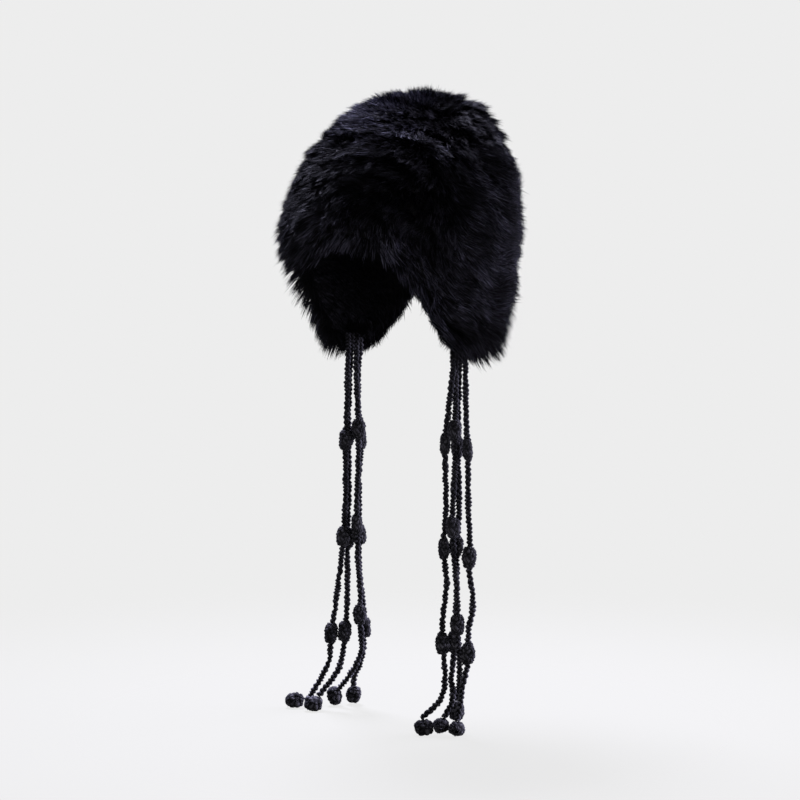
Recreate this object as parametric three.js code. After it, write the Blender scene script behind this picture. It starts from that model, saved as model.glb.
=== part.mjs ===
// A knitted fur hat with two ear flaps. Four crocheted cords hang from the inside of each flap.
// Each cord has three bobbles along its length and a larger one at its end.
// Sizes are in millimetres: +X to the wearer's left, -Y to the brow, +Z up. The origin is the
// point of the crown's inside that rests on top of the head.

import * as THREE from 'three';

// Driving dimensions

const KNIT_TOP = 6.37; // top of the knitted backing, above the head seat
const WALL = 3; // thickness of the knitted backing
const GAP = 0.3; // clearance left between pieces that touch

const KNIT_COLUMNS = 32; // facets round the backing
const KNIT_LEVELS = 9; // rings of facets from the crown to the edge
const FUR_COLUMNS = 64; // locks of fur, and the hollows between them, round the hat
const FUR_ROWS = 12; // lapped rows of fur from the crown to the edge

const LOCK_REACH = 1.04; // how far a lock stands out, as a share of the pile
const HOLLOW_REACH = 0.88; // the same between two locks
const ROOT_REACH = 0.78; // the same at the roots of the next row, under the tips of this one
const EDGE_REACH = 0.75; // the same along the bottom edge, where the fur turns in
const UNEVEN_REACH = 0.1; // how much one lock differs from another
const ROOT_STEP = 0.02; // from the tips of one row to the roots of the next, crown to edge being 1
const LAST_TIP_STEP = 0.035; // from the tips of the last row to the bottom edge
const EDGE_JAG = 5; // how far the tufts of the bottom edge hang lower than its hollows

const CORD_DIAMETER = 4.4;
const CORD_SIDES = 8;
const CORD_STEPS = 30;
const SEW_HALF_SPAN = 70.3; // from the hat's middle plane to the cords' top ends, inside the flaps
const SEW_BACK = 5; // the cords' top ends, behind the head seat
const SEW_HEIGHT = -199; // the cords' top ends, below the head seat
const HANG_TURN = THREE.MathUtils.degToRad(48); // the cords fan out in a plane turned this far

const BOBBLE = { length: 19, width: 12.5, thickness: 11, bore: 6.6 };
const END_BOBBLE = { length: 17, width: 14, thickness: 11.6, bore: 0 };
const BOBBLE_SIDES = 10;
const BOBBLE_STEPS = 4; // facets from mouth to mouth

// Outer face of the knitted backing, in level sections from the top of the crown down.
// drop: below the top. halfWidth: ear to ear. halfDepth: brow to nape.
// backShift: how far the section's middle lies behind the head seat. pile: the fur's length there.
const SECTIONS = [
  { drop: 0, halfWidth: 0, halfDepth: 0, backShift: 28, pile: 17.4 },
  { drop: 4, halfWidth: 24.8, halfDepth: 30.2, backShift: 26.5, pile: 17.4 },
  { drop: 12.4, halfWidth: 41.7, halfDepth: 51.2, backShift: 22, pile: 17.5 },
  { drop: 27, halfWidth: 54.5, halfDepth: 67, backShift: 18, pile: 17.7 },
  { drop: 46.7, halfWidth: 67, halfDepth: 82, backShift: 13, pile: 17.9 },
  { drop: 67.2, halfWidth: 75.3, halfDepth: 92.2, backShift: 9, pile: 18 },
  { drop: 88.4, halfWidth: 80, halfDepth: 98, backShift: 5, pile: 18 },
  { drop: 109, halfWidth: 82.6, halfDepth: 101, backShift: 1.2, pile: 18 },
  { drop: 131, halfWidth: 81.8, halfDepth: 99.7, backShift: 0.2, pile: 17.8 },
  { drop: 156, halfWidth: 79.8, halfDepth: 97, backShift: 0.2, pile: 17.6 },
  { drop: 181, halfWidth: 78.2, halfDepth: 95, backShift: 1.8, pile: 17.6 },
  { drop: 207, halfWidth: 77, halfDepth: 93.3, backShift: 3.2, pile: 17 },
  { drop: 240, halfWidth: 75.3, halfDepth: 90.8, backShift: 5, pile: 15.5 },
];

// Height of the bottom edge against the angle from the brow, the same to both sides:
// the brow, the raised temples, the flap, and the nape.
const EDGES = [
  { angle: 0, knit: -130, fur: -141 },
  { angle: 20, knit: -117, fur: -127 },
  { angle: 30, knit: -118, fur: -128.5 },
  { angle: 38, knit: -123, fur: -134 },
  { angle: 45, knit: -129, fur: -140 },
  { angle: 60, knit: -157, fur: -170 },
  { angle: 68, knit: -177.5, fur: -190.5 },
  { angle: 75, knit: -196, fur: -209 },
  { angle: 82, knit: -206, fur: -221 },
  { angle: 90, knit: -209.5, fur: -223.5 },
  { angle: 100, knit: -210, fur: -222.5 },
  { angle: 110, knit: -206, fur: -218 },
  { angle: 118, knit: -192, fur: -204 },
  { angle: 126, knit: -178, fur: -190 },
  { angle: 135, knit: -159, fur: -170 },
  { angle: 150, knit: -149, fur: -159 },
  { angle: 180, knit: -146, fur: -156 },
];

// The cords of each flap. A route's rows are [drop, across, forward]: below the point where the
// four cords are sewn on, along the plane that they fan out in, and square to that plane.
// bobbles: the rows, given by their drop, that the middle bobbles sit on.
// end: the last bobble's middle, and the way that its long side lies.
const CORDS = {
  left: [
    {
      route: [
        [0, -5.6, 5], [12, -5.3, 5.4], [30, -5.2, 6], [48, -7.2, 5], [66, -9.2, 3.4], [83, -11.2, 1.6],
        [95, -11.9, 1], [108, -11.9, 0.8], [128, -11.4, 0.8], [146, -11, 0], [163, -11.5, -1.4],
        [177, -12.4, 0], [188, -12.8, 0.9], [199, -12.3, 1.2], [214, -10.4, 1.5], [227, -10.9, 2],
        [239, -12.6, 2], [252, -13.9, 2], [262, -14.3, 2], [272, -14, 2], [282, -13.2, 2],
        [294, -12, 2], [305, -11.8, 2], [315, -13, 2], [323.5, -16.6, 2.5], [330, -22.2, 3],
        [335, -28.2, 4], [338.7, -33.4, 5],
      ],
      bobbles: [95, 188, 272],
      end: { middle: [347, -30.4, 5], along: [0, 1, 0] },
    },
    {
      route: [
        [0, -1.9, 1.7], [12, -2.2, 1.6], [30, -2.8, 1.5], [48, -3, 2.6], [64, -2.9, 4.5], [73, -3.2, 5.5],
        [82.5, -3.5, 6], [92, -3.3, 6], [106, -3.1, 5.6], [120, -3.6, 5.2], [136, -4.6, 5],
        [150, -5.2, 5], [159, -5.3, 5], [168.5, -5.2, 5.2], [178, -4.9, 5.6], [192, -4.2, 6],
        [206, -3, 5.2], [220, -1.8, 4], [234, -1.2, 3.2], [246, -0.9, 3], [255.5, -0.8, 3],
        [265, -0.6, 3.3], [276, 0, 3.8], [288, 0.8, 3], [298, 1.1, 0.8], [308, 0.8, -1.4],
        [317, 0.1, -2.8], [325, -0.7, -3.4],
      ],
      bobbles: [82.5, 168.5, 255.5],
      end: { middle: [334, -1.2, -3.4], along: [1, 0, 0] },
    },
    {
      route: [
        [0, 1.9, -1.7], [12, 1.5, -2], [30, 0.7, -3], [48, 0, -4], [66, -0.3, -4.7], [82, -0.6, -5],
        [97.5, -0.8, -5], [109, -0.5, -4.7], [122, 0.1, -4], [136, 0.5, -3.4], [150, 0.5, -3.2],
        [164, 0.2, -3.6], [175, -0.8, -4], [186.5, -1.7, -4.2], [198, -1.7, -4.2],
        [210, -1.3, -4], [223, -1.2, -4], [237, -1.6, -4.4], [250, -2.4, -5], [262, -3.2, -5.2],
        [272.5, -3.6, -5.2], [283, -4, -4.8], [294, -5, -3.8], [303, -5.8, -2.6], [311, -5.4, -1],
        [318, -5, 1], [325, -5.8, 2.2], [331.5, -8.8, 2.8], [339.2, -13.4, 3],
      ],
      bobbles: [97.5, 186.5, 272.5],
      end: { middle: [345.5, -15.2, 4], along: [0.2, 0, 1] },
    },
    {
      route: [
        [0, 5.6, -5], [12, 5.6, -5], [30, 5.8, -3.8], [48, 6.2, -1.8], [66, 6.4, 0.4],
        [84, 7, 2.8], [92, 7.4, 3.7], [100, 7.8, 4.3], [110, 8.2, 4.5], [126, 8.2, 3.6], [141, 8.4, 2.8],
        [156, 8.9, 2], [171, 9.7, 1.4], [184, 10, 1], [195.5, 9.5, 1], [206, 9.2, 1],
        [216, 10.4, 1.4], [226, 12.4, 2], [236, 12.8, 2.4], [247, 11.6, 2.4], [258, 9.6, 2],
        [270, 8.6, 1.4], [281.5, 8.4, 1.1], [292.5, 8, 1.4], [301, 6, 2.4], [309, 4, 3.6],
        [317, 2.9, 4.6], [325, 2, 6.4], [332, 0.3, 7.8], [340.5, -1.5, 9.7],
      ],
      bobbles: [100, 195.5, 281.5],
      end: { middle: [346.5, -1.6, 12], along: [0.15, 0, 1] },
    },
  ],
  right: [
    {
      route: [
        [0, -5.6, 5], [12, -5.6, 4.9], [28, -5.9, 4.2], [46, -6.3, 3.6], [64, -6.7, 3.2],
        [83, -7.4, 3.2], [100, -8, 3.5], [113, -8.2, 3.5], [131, -8.1, 3.3], [150, -8.2, 3],
        [166, -8.8, 3], [178, -9.6, 3], [190, -10.5, 3], [202, -11.4, 3], [214, -12.6, 3],
        [226, -14.2, 3], [238, -15.8, 3], [250, -17.2, 3], [261, -18.7, 3], [271, -20.4, 3],
        [281, -21.9, 3], [291, -22.4, 3], [302, -23, 2], [312, -25.6, 1], [321, -29.8, -1],
        [329, -34.2, -3.5], [336.5, -38.4, -6], [343, -42.6, -7.6], [347, -47.4, -8],
      ],
      bobbles: [100, 190, 281],
      end: { middle: [346.8, -56.8, -8], along: [0, 1, 0] },
    },
    {
      route: [
        [0, -1.9, 1.7], [12, -2.2, 1.5], [28, -3.6, -1.2], [46, -4.6, -4], [64, -5.2, -6.4],
        [82, -5.7, -8.4], [97, -6, -9], [110, -5.8, -8.6], [126, -5.5, -7.4], [144, -5.4, -6.6],
        [160, -5.5, -6.6], [172, -5.9, -7.5], [183, -6.4, -8.4], [193, -6.7, -8.7],
        [205, -6.9, -8.3], [218, -6.9, -5.6], [229, -7, -2], [242, -7, 0], [255, -7, 1.2],
        [268, -7.9, 1.8], [279.5, -9.2, 2], [291, -10.2, 2], [302, -11.3, 2], [312, -13.8, 2.2],
        [320.5, -18.2, 2.8], [328, -23.4, 3.6], [334, -28.8, 4.4], [340, -34.6, 5.4],
      ],
      bobbles: [97, 193, 279.5],
      end: { middle: [346.8, -38.6, 6.6], along: [0, 1, 0] },
    },
    {
      route: [
        [0, 1.9, -1.7], [12, 2, -0.6], [28, 1.9, 0.8], [46, 2.2, 2.4], [64, 2.8, 3.8],
        [78, 3.5, 4.7], [89.5, 4.1, 5.1], [101, 4.1, 5.4], [114, 3.7, 5.4], [130, 3.2, 5.1],
        [148, 2.4, 5], [165, 2.1, 5.2], [179, 2.5, 5.6], [191, 2.8, 5.8], [204, 2.8, 5.5],
        [218, 3.5, 4.8], [232, 4.6, 4.3], [243, 5.2, 4.1], [253, 5.2, 4], [263.5, 5, 4],
        [275, 5.7, 4.1], [288, 6.6, 4], [299, 5.8, 3], [307.5, 3, 1], [315, -0.4, -1.8],
        [321.5, -4.2, -5.2], [327.5, -8.2, -8.8], [333, -12.2, -12], [338.4, -15.8, -14.8],
      ],
      bobbles: [89.5, 179, 263.5],
      end: { middle: [344.3, -19.6, -17.6], along: [1, 0.25, 0.1] },
    },
    {
      route: [
        [0, 5.6, -5], [12, 5.5, -4.9], [28, 4.2, -5], [46, 3.1, -4.8], [64, 3.3, -4.6], [80, 4.4, -4.6],
        [90, 5.4, -4.7], [100, 6.1, -4.7], [111, 5.8, -4.5], [127, 4.8, -4], [145, 4.2, -4],
        [162, 4.1, -4], [176, 4.3, -4.2], [189.5, 4.6, -4.3], [202, 4.5, -4.2], [216, 4.4, -3.8],
        [231, 5.2, -3.8], [245, 6.8, -4.2], [257, 8, -4.6], [267, 8.7, -4.8], [277, 8.9, -4.8],
        [287, 8.6, -5], [298, 8, -5.8], [307.5, 6.8, -8], [315, 4.2, -11], [321.5, 1, -14],
        [328, -1.2, -17], [336.1, -1.8, -20.2],
      ],
      bobbles: [100, 189.5, 277],
      end: { middle: [344.4, -1.4, -23.4], along: [1, -0.2, -0.45] },
    },
  ],
};

const FINISHES = {
  knit: { color: 0x101014, roughness: 0.95, metalness: 0 },
  fur: { color: 0x0c0c10, roughness: 0.85, metalness: 0 },
  cord: { color: 0x191a1e, roughness: 0.92, metalness: 0 },
  bobble: { color: 0x17181c, roughness: 0.94, metalness: 0 },
};

// Smooth values between the rows of a table. places holds where each row lies.
function smoothTable(rows, places, columns, settings) {
  const values = rows.flatMap((row) => columns.map((column) => row[column]));
  const curve = new THREE.CubicInterpolant(places, Float64Array.from(values), columns.length);
  curve.settings = settings;
  return (place) => {
    const found = curve.evaluate(place);
    return Object.fromEntries(columns.map((column, index) => [column, found[index]]));
  };
}

// A place on the hat is the row of SECTIONS that it lies on, fractions between rows included.
const sectionAt = smoothTable(
  SECTIONS,
  SECTIONS.map((row, index) => index),
  ['drop', 'halfWidth', 'halfDepth', 'backShift', 'pile'],
  { endingStart: THREE.ZeroCurvatureEnding, endingEnd: THREE.ZeroCurvatureEnding },
);

const edgeAt = smoothTable(
  EDGES,
  EDGES.map((row) => row.angle),
  ['knit', 'fur'],
  { endingStart: THREE.ZeroSlopeEnding, endingEnd: THREE.ZeroSlopeEnding },
);

// Angle of a column from the brow, towards the wearer's left.
function columnAngle(column, columns) {
  return (2 * Math.PI * column) / columns;
}

function knitPoint(place, angle) {
  const { drop, halfWidth, halfDepth, backShift } = sectionAt(place);
  return new THREE.Vector3(
    halfWidth * Math.sin(angle),
    backShift - halfDepth * Math.cos(angle),
    KNIT_TOP - drop,
  );
}

// Direction square to the backing's outer face.
function outward(place, angle) {
  const step = 0.01;
  const down = knitPoint(place + step, angle).sub(knitPoint(place - step, angle));
  const round = knitPoint(place, angle + step).sub(knitPoint(place, angle - step));
  return down.cross(round).normalize();
}

// Point at a distance from the backing's outer face, outside it where the distance is positive.
function pointOff(place, angle, distance) {
  return knitPoint(place, angle).addScaledVector(outward(place, angle), distance);
}

function topOff(distance) {
  return knitPoint(0, 0).add(new THREE.Vector3(0, 0, distance));
}

// Height of the knit's or the fur's bottom edge at an angle from the brow.
function edgeHeight(angle, layer) {
  const degrees = THREE.MathUtils.radToDeg(angle);
  return edgeAt(Math.min(degrees, 360 - degrees))[layer];
}

// Place on the hat at a height: halves the span between the crown and the flaps until it fits.
function placeAtHeight(height) {
  const halvings = 30;
  let upper = 0;
  let lower = SECTIONS.length - 1;
  for (let i = 0; i < halvings; i += 1) {
    const middle = (upper + lower) / 2;
    if (KNIT_TOP - sectionAt(middle).drop > height) {
      upper = middle;
    } else {
      lower = middle;
    }
  }
  return lower;
}

// Repeatable uneven number from -1 to 1 for a lock of a row.
function uneven(column, row) {
  const wave = Math.sin(column * 12.9898 + row * 78.233) * 437.585;
  return 2 * (wave - Math.floor(wave)) - 1;
}

function ring(columns, pointAt) {
  return Array.from({ length: columns }, (unused, column) => pointAt(column));
}

// A dome is its top point and its rings of points, from the crown down to the edge.
function knitDome(distance) {
  const rings = [];
  for (let level = 1; level <= KNIT_LEVELS; level += 1) {
    rings.push(ring(KNIT_COLUMNS, (column) => {
      const angle = columnAngle(column, KNIT_COLUMNS);
      const edgePlace = placeAtHeight(edgeHeight(angle, 'knit'));
      return pointOff((edgePlace * level) / KNIT_LEVELS, angle, distance);
    }));
  }
  return { top: topOff(distance), rings };
}

// The fur's outer form: each row ends in locks that lap over the roots of the next row.
function furDome() {
  const stands = (column, row) => (column + row) % 2 === 0;
  const tipReach = (column, row) => (
    (stands(column, row) ? LOCK_REACH : HOLLOW_REACH) + UNEVEN_REACH * uneven(column, row)
  );
  const furRing = (share, reachAt) => ring(FUR_COLUMNS, (column) => {
    const angle = columnAngle(column, FUR_COLUMNS);
    const place = placeAtHeight(edgeHeight(angle, 'fur')) * share;
    return pointOff(place, angle, sectionAt(place).pile * reachAt(column));
  });
  const rings = [];
  for (let row = 1; row < FUR_ROWS; row += 1) {
    rings.push(furRing(row / FUR_ROWS, (column) => tipReach(column, row)));
    rings.push(furRing(row / FUR_ROWS + ROOT_STEP, () => ROOT_REACH));
  }
  rings.push(furRing(1 - LAST_TIP_STEP, (column) => tipReach(column, FUR_ROWS)));
  rings.push(ring(FUR_COLUMNS, (column) => {
    const angle = columnAngle(column, FUR_COLUMNS);
    const jag = (stands(column, FUR_ROWS) ? -0.5 : 0.5) * EDGE_JAG;
    const place = placeAtHeight(edgeHeight(angle, 'fur') + jag);
    return pointOff(place, angle, sectionAt(place).pile * EDGE_REACH);
  }));
  return { top: topOff(SECTIONS[0].pile), rings };
}

// Closes the space between two domes into one solid. The outer dome has a whole number of
// columns for each column of the inner one.
function wallBetween(outer, inner) {
  const positions = [];
  const faces = [];
  const numbered = (dome) => {
    const number = (point) => positions.push(point.x, point.y, point.z) / 3 - 1;
    return { top: number(dome.top), rings: dome.rings.map((points) => points.map(number)) };
  };
  const strip = (upper, lower, flipped) => {
    const ratio = upper.length / lower.length;
    const face = (a, b, c) => faces.push(...(flipped ? [a, c, b] : [a, b, c]));
    lower.forEach((corner, index) => {
      const nextCorner = lower[(index + 1) % lower.length];
      const middle = index * ratio + Math.floor(ratio / 2);
      for (let i = index * ratio; i < (index + 1) * ratio; i += 1) {
        face(upper[i], i < middle ? corner : nextCorner, upper[(i + 1) % upper.length]);
      }
      face(upper[middle], corner, nextCorner);
    });
  };
  const cover = ({ top, rings }, flipped) => {
    rings[0].forEach((corner, index) => {
      const next = rings[0][(index + 1) % rings[0].length];
      faces.push(top, ...(flipped ? [next, corner] : [corner, next]));
    });
    for (let level = 1; level < rings.length; level += 1) {
      strip(rings[level - 1], rings[level], flipped);
    }
  };
  const outside = numbered(outer);
  const inside = numbered(inner);
  cover(outside, false);
  cover(inside, true);
  strip(outside.rings.at(-1), inside.rings.at(-1), false);
  const geometry = new THREE.BufferGeometry();
  geometry.setAttribute('position', new THREE.Float32BufferAttribute(positions, 3));
  geometry.setIndex(faces);
  geometry.computeVertexNormals();
  return geometry;
}

function makeMesh(name, geometry, finish) {
  const mesh = new THREE.Mesh(geometry, new THREE.MeshStandardMaterial(FINISHES[finish]));
  mesh.name = name;
  return mesh;
}

// Turns [drop, across, forward] into a direction of the hat.
function hangDirection([drop, across, forward]) {
  const cos = Math.cos(HANG_TURN);
  const sin = Math.sin(HANG_TURN);
  return new THREE.Vector3(across * cos + forward * sin, across * sin - forward * cos, -drop);
}

function hangPoint(sewPoint, row) {
  return hangDirection(row).add(sewPoint);
}

function cordGeometry(curve) {
  const section = new THREE.Shape(ring(CORD_SIDES, (corner) => {
    const angle = columnAngle(corner, CORD_SIDES);
    const radius = CORD_DIAMETER / 2;
    return new THREE.Vector2(radius * Math.cos(angle), radius * Math.sin(angle));
  }));
  return new THREE.ExtrudeGeometry(section, {
    steps: CORD_STEPS,
    extrudePath: curve,
    bevelEnabled: false,
  });
}

// A bobble is a round of crochet, rounded by an arc from mouth to mouth, that lies along the
// Y axis. With a bore it lets its cord through, and without one it is closed at both ends.
function bobbleGeometry({ length, width, thickness, bore }) {
  const radius = width / 2;
  const reach = Math.acos(bore / width);
  const profile = [];
  for (let step = 0; step <= BOBBLE_STEPS; step += 1) {
    const angle = reach * ((2 * step) / BOBBLE_STEPS - 1);
    const along = (Math.sin(angle) / Math.sin(reach)) * (length / 2);
    profile.push(new THREE.Vector2(Math.max(0, radius * Math.cos(angle)), along));
  }
  if (bore > 0) {
    profile.push(profile[0].clone());
  } else {
    profile[0].setX(0);
    profile.at(-1).setX(0);
  }
  const geometry = new THREE.LatheGeometry(profile, BOBBLE_SIDES);
  geometry.scale(1, 1, thickness / width);
  return geometry;
}

// Stands a bobble's long side along a direction, with its width in the plane of the cords.
function seatBobble(mesh, middle, along) {
  const across = hangDirection([0, 1, 0]);
  const fallback = hangDirection([1, 0, 0]);
  const lengthwise = along.clone().normalize();
  const side = Math.abs(across.dot(lengthwise)) < 0.8 ? across : fallback;
  const facing = side.clone().cross(lengthwise).normalize();
  const widthwise = lengthwise.clone().cross(facing);
  mesh.quaternion.setFromRotationMatrix(
    new THREE.Matrix4().makeBasis(widthwise, lengthwise, facing),
  );
  mesh.position.copy(middle);
}

// One cord with the bobbles that it carries.
function makeCord(name, sewPoint, { route, bobbles, end }) {
  const curve = new THREE.CatmullRomCurve3(route.map((row) => hangPoint(sewPoint, row)));
  const meshes = [makeMesh(`cord_${name}`, cordGeometry(curve), 'cord')];
  bobbles.forEach((drop, index) => {
    const share = route.findIndex((row) => row[0] === drop) / (route.length - 1);
    const bobble = makeMesh(`bobble_${name}_${index + 1}`, bobbleGeometry(BOBBLE), 'bobble');
    seatBobble(bobble, curve.getPoint(share), curve.getTangent(share));
    meshes.push(bobble);
  });
  const last = makeMesh(`bobble_${name}_end`, bobbleGeometry(END_BOBBLE), 'bobble');
  seatBobble(last, hangPoint(sewPoint, end.middle), hangDirection(end.along));
  meshes.push(last);
  return meshes;
}

function makeHat() {
  const knit = wallBetween(knitDome(0), knitDome(-WALL));
  const fur = wallBetween(furDome(), knitDome(GAP));
  const hat = new THREE.Group();
  hat.add(makeMesh('knit_base', knit, 'knit'), makeMesh('fur_outer', fur, 'fur'));
  const sides = { left: SEW_HALF_SPAN, right: -SEW_HALF_SPAN };
  Object.entries(sides).forEach(([side, span]) => {
    const sewPoint = new THREE.Vector3(span, SEW_BACK, SEW_HEIGHT);
    CORDS[side].forEach((cord, index) => {
      hat.add(...makeCord(`${side}_${index + 1}`, sewPoint, cord));
    });
  });
  return hat;
}

export default makeHat();
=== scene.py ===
"""A knitted fur hat with two ear flaps and eight crocheted cords that carry bobbles."""

import logging
import math
from dataclasses import dataclass, field
from enum import Enum

import bpy
import numpy as np
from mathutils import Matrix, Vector


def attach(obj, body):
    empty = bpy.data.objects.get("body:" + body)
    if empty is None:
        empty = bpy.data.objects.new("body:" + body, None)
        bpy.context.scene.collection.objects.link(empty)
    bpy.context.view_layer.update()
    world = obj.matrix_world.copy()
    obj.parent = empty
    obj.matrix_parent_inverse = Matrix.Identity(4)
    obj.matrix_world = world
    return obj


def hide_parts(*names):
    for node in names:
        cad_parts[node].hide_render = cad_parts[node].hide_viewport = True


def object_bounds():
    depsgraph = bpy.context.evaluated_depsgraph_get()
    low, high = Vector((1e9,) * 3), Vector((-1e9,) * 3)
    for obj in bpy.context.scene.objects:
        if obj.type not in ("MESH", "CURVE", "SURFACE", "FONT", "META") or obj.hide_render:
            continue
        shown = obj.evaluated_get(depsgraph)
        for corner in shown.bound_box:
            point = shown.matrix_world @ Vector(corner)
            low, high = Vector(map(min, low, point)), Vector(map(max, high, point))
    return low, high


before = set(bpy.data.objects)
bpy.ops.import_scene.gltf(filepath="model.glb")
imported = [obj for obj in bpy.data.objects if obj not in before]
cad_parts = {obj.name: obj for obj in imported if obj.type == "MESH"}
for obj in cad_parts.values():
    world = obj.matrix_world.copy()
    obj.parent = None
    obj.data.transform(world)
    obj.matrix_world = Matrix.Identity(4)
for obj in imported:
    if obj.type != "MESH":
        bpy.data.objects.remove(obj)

CAD_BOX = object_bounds()
LOG = logging.getLogger("hat")
BODY = "root"
TURN = 2 * math.pi
MM_PER_M = 1000
TINY = 1e-12  # keeps a division by a length from failing
NORMAL_LIMIT = 2  # how many deviations a random offset may reach
POLE_SHARE = 0.004  # where a dome's first ring lies, as a share of the way to the edge

# The photograph's frame and the place that it was taken from, in metres and pixels.
PHOTO_SIZE = 800
FOCAL_PIXELS = 2168
SENSOR_WIDTH = 0.036
VIEW_TURN = math.radians(48)  # from the brow towards the wearer's left
VIEW_DISTANCE = 1.954
VIEW_HEIGHT = -0.129
VIEW_TILT = math.radians(3.79)  # below the horizon
AXIS_ASIDE = math.radians(0.026)  # how far the hat's axis stands right of the picture's middle

# The plane that the cords fan out in, which faces the camera.
ACROSS = np.array([math.cos(VIEW_TURN), math.sin(VIEW_TURN), 0.0])
FORWARD = np.array([math.sin(VIEW_TURN), -math.cos(VIEW_TURN), 0.0])
DOWN = np.array([0.0, 0.0, -1.0])
UP = -DOWN

# Sizes of the hat, the same as in the part's own source.
KNIT_TOP = 0.00637
WALL = 0.003
FUR_ROWS = 12
FUR_COLUMNS = 64
SEW_HALF_SPAN = 0.0703
SEW_BACK = 0.005
SEW_HEIGHT = -0.199
CORD_DIAMETER = 0.0044
FLOOR_HEIGHT = CAD_BOX[0].z

# Outer face of the knitted backing in level sections from the crown down:
# drop, half width, half depth, back shift, length of pile.
PILE_COLUMN = 4
SECTIONS = np.array([
    (0, 0, 0, 0.028, 0.0174),
    (0.004, 0.0248, 0.0302, 0.0265, 0.0174),
    (0.0124, 0.0417, 0.0512, 0.022, 0.0175),
    (0.027, 0.0545, 0.067, 0.018, 0.0177),
    (0.0467, 0.067, 0.082, 0.013, 0.0179),
    (0.0672, 0.0753, 0.0922, 0.009, 0.018),
    (0.0884, 0.08, 0.098, 0.005, 0.018),
    (0.109, 0.0826, 0.101, 0.0012, 0.018),
    (0.131, 0.0818, 0.0997, 0.0002, 0.0178),
    (0.156, 0.0798, 0.097, 0.0002, 0.0176),
    (0.181, 0.0782, 0.095, 0.0018, 0.0176),
    (0.207, 0.077, 0.0933, 0.0032, 0.017),
    (0.24, 0.0753, 0.0908, 0.005, 0.0155),
])

# Bottom edge against the angle from the brow in degrees: height of the knit's and the fur's edge.
EDGES = np.array([
    (0, -0.13, -0.141),
    (20, -0.117, -0.127),
    (30, -0.118, -0.1285),
    (38, -0.123, -0.134),
    (45, -0.129, -0.14),
    (60, -0.157, -0.17),
    (68, -0.1775, -0.1905),
    (75, -0.196, -0.209),
    (82, -0.206, -0.221),
    (90, -0.2095, -0.2235),
    (100, -0.21, -0.2225),
    (110, -0.206, -0.218),
    (118, -0.192, -0.204),
    (126, -0.178, -0.19),
    (135, -0.159, -0.17),
    (150, -0.149, -0.159),
    (180, -0.146, -0.156),
])

# How long the hanging fur of the edge is, against the angle from the brow towards the wearer's
# left in degrees: the two flaps aren't trimmed quite alike.
TRIM = np.array([
    (-180, 1),
    (-126, 0.6),
    (-104, 0.7),
    (-88, 1.05),
    (-62, 1.3),
    (-40, 1),
    (45, 1),
    (60, 0.5),
    (78, 0.55),
    (92, 1.15),
    (118, 1.35),
    (140, 1),
    (180, 1),
])

# Painted light and shade on the fur: the lighter patches are painted highlights and glints, the
# darker ones painted shade. Columns: angle from the brow in degrees, share of the way from the
# crown to the edge, how wide the patch is, and how much lighter it is (darker below 0).
PAINTED_LIGHT_PATCHES = (
    (-18, 0.17, 0.026, 4.2),
    (10, 0.1, 0.026, 3.4),
    (20, 0.3, 0.022, 3.0),
    (2, 0.4, 0.024, 3.2),
    (38, 0.42, 0.018, 2.0),
    (22, 0.54, 0.014, 3.0),
    (66, 0.38, 0.018, 1.6),
    (95, 0.5, 0.03, 1.0),
    (20, 0.96, 0.022, 5.0),
    (-40, 0.98, 0.022, 3.0),
    (44, 0.97, 0.02, 5.0),
    (70, 0.95, 0.022, 2.5),
    (80, 0.76, 0.03, 1.0),
    (-20, 0.6, 0.045, -0.92),
    (-42, 0.66, 0.04, -0.92),
    (-28, 0.36, 0.022, 3.0),
    (-30, 0.54, 0.022, -0.8),
    (5, 0.55, 0.03, -0.7),
    (10, 0.72, 0.032, -0.85),
    (57, 0.62, 0.045, -0.9),
    (88, 0.24, 0.036, -0.85),
    (100, 0.97, 0.026, -0.85),
)


class Flap(Enum):
    """The ear flap that a cord hangs from."""

    LEFT = 1
    RIGHT = -1


class Layer(Enum):
    """A layer of the bottom edge, by its column in EDGES."""

    KNIT = 1
    FUR = 2


@dataclass(frozen=True)
class CordPlan:
    """One cord: its route, and where its bobbles sit.

    A point of the route is how far it lies below the sewn top, along ACROSS and along FORWARD.
    """

    flap: Flap
    number: int
    bobble_rows: tuple[int, ...]
    end_middle: tuple[float, float, float]
    end_along: tuple[float, float, float]
    route: tuple[tuple[float, float, float], ...]


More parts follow.
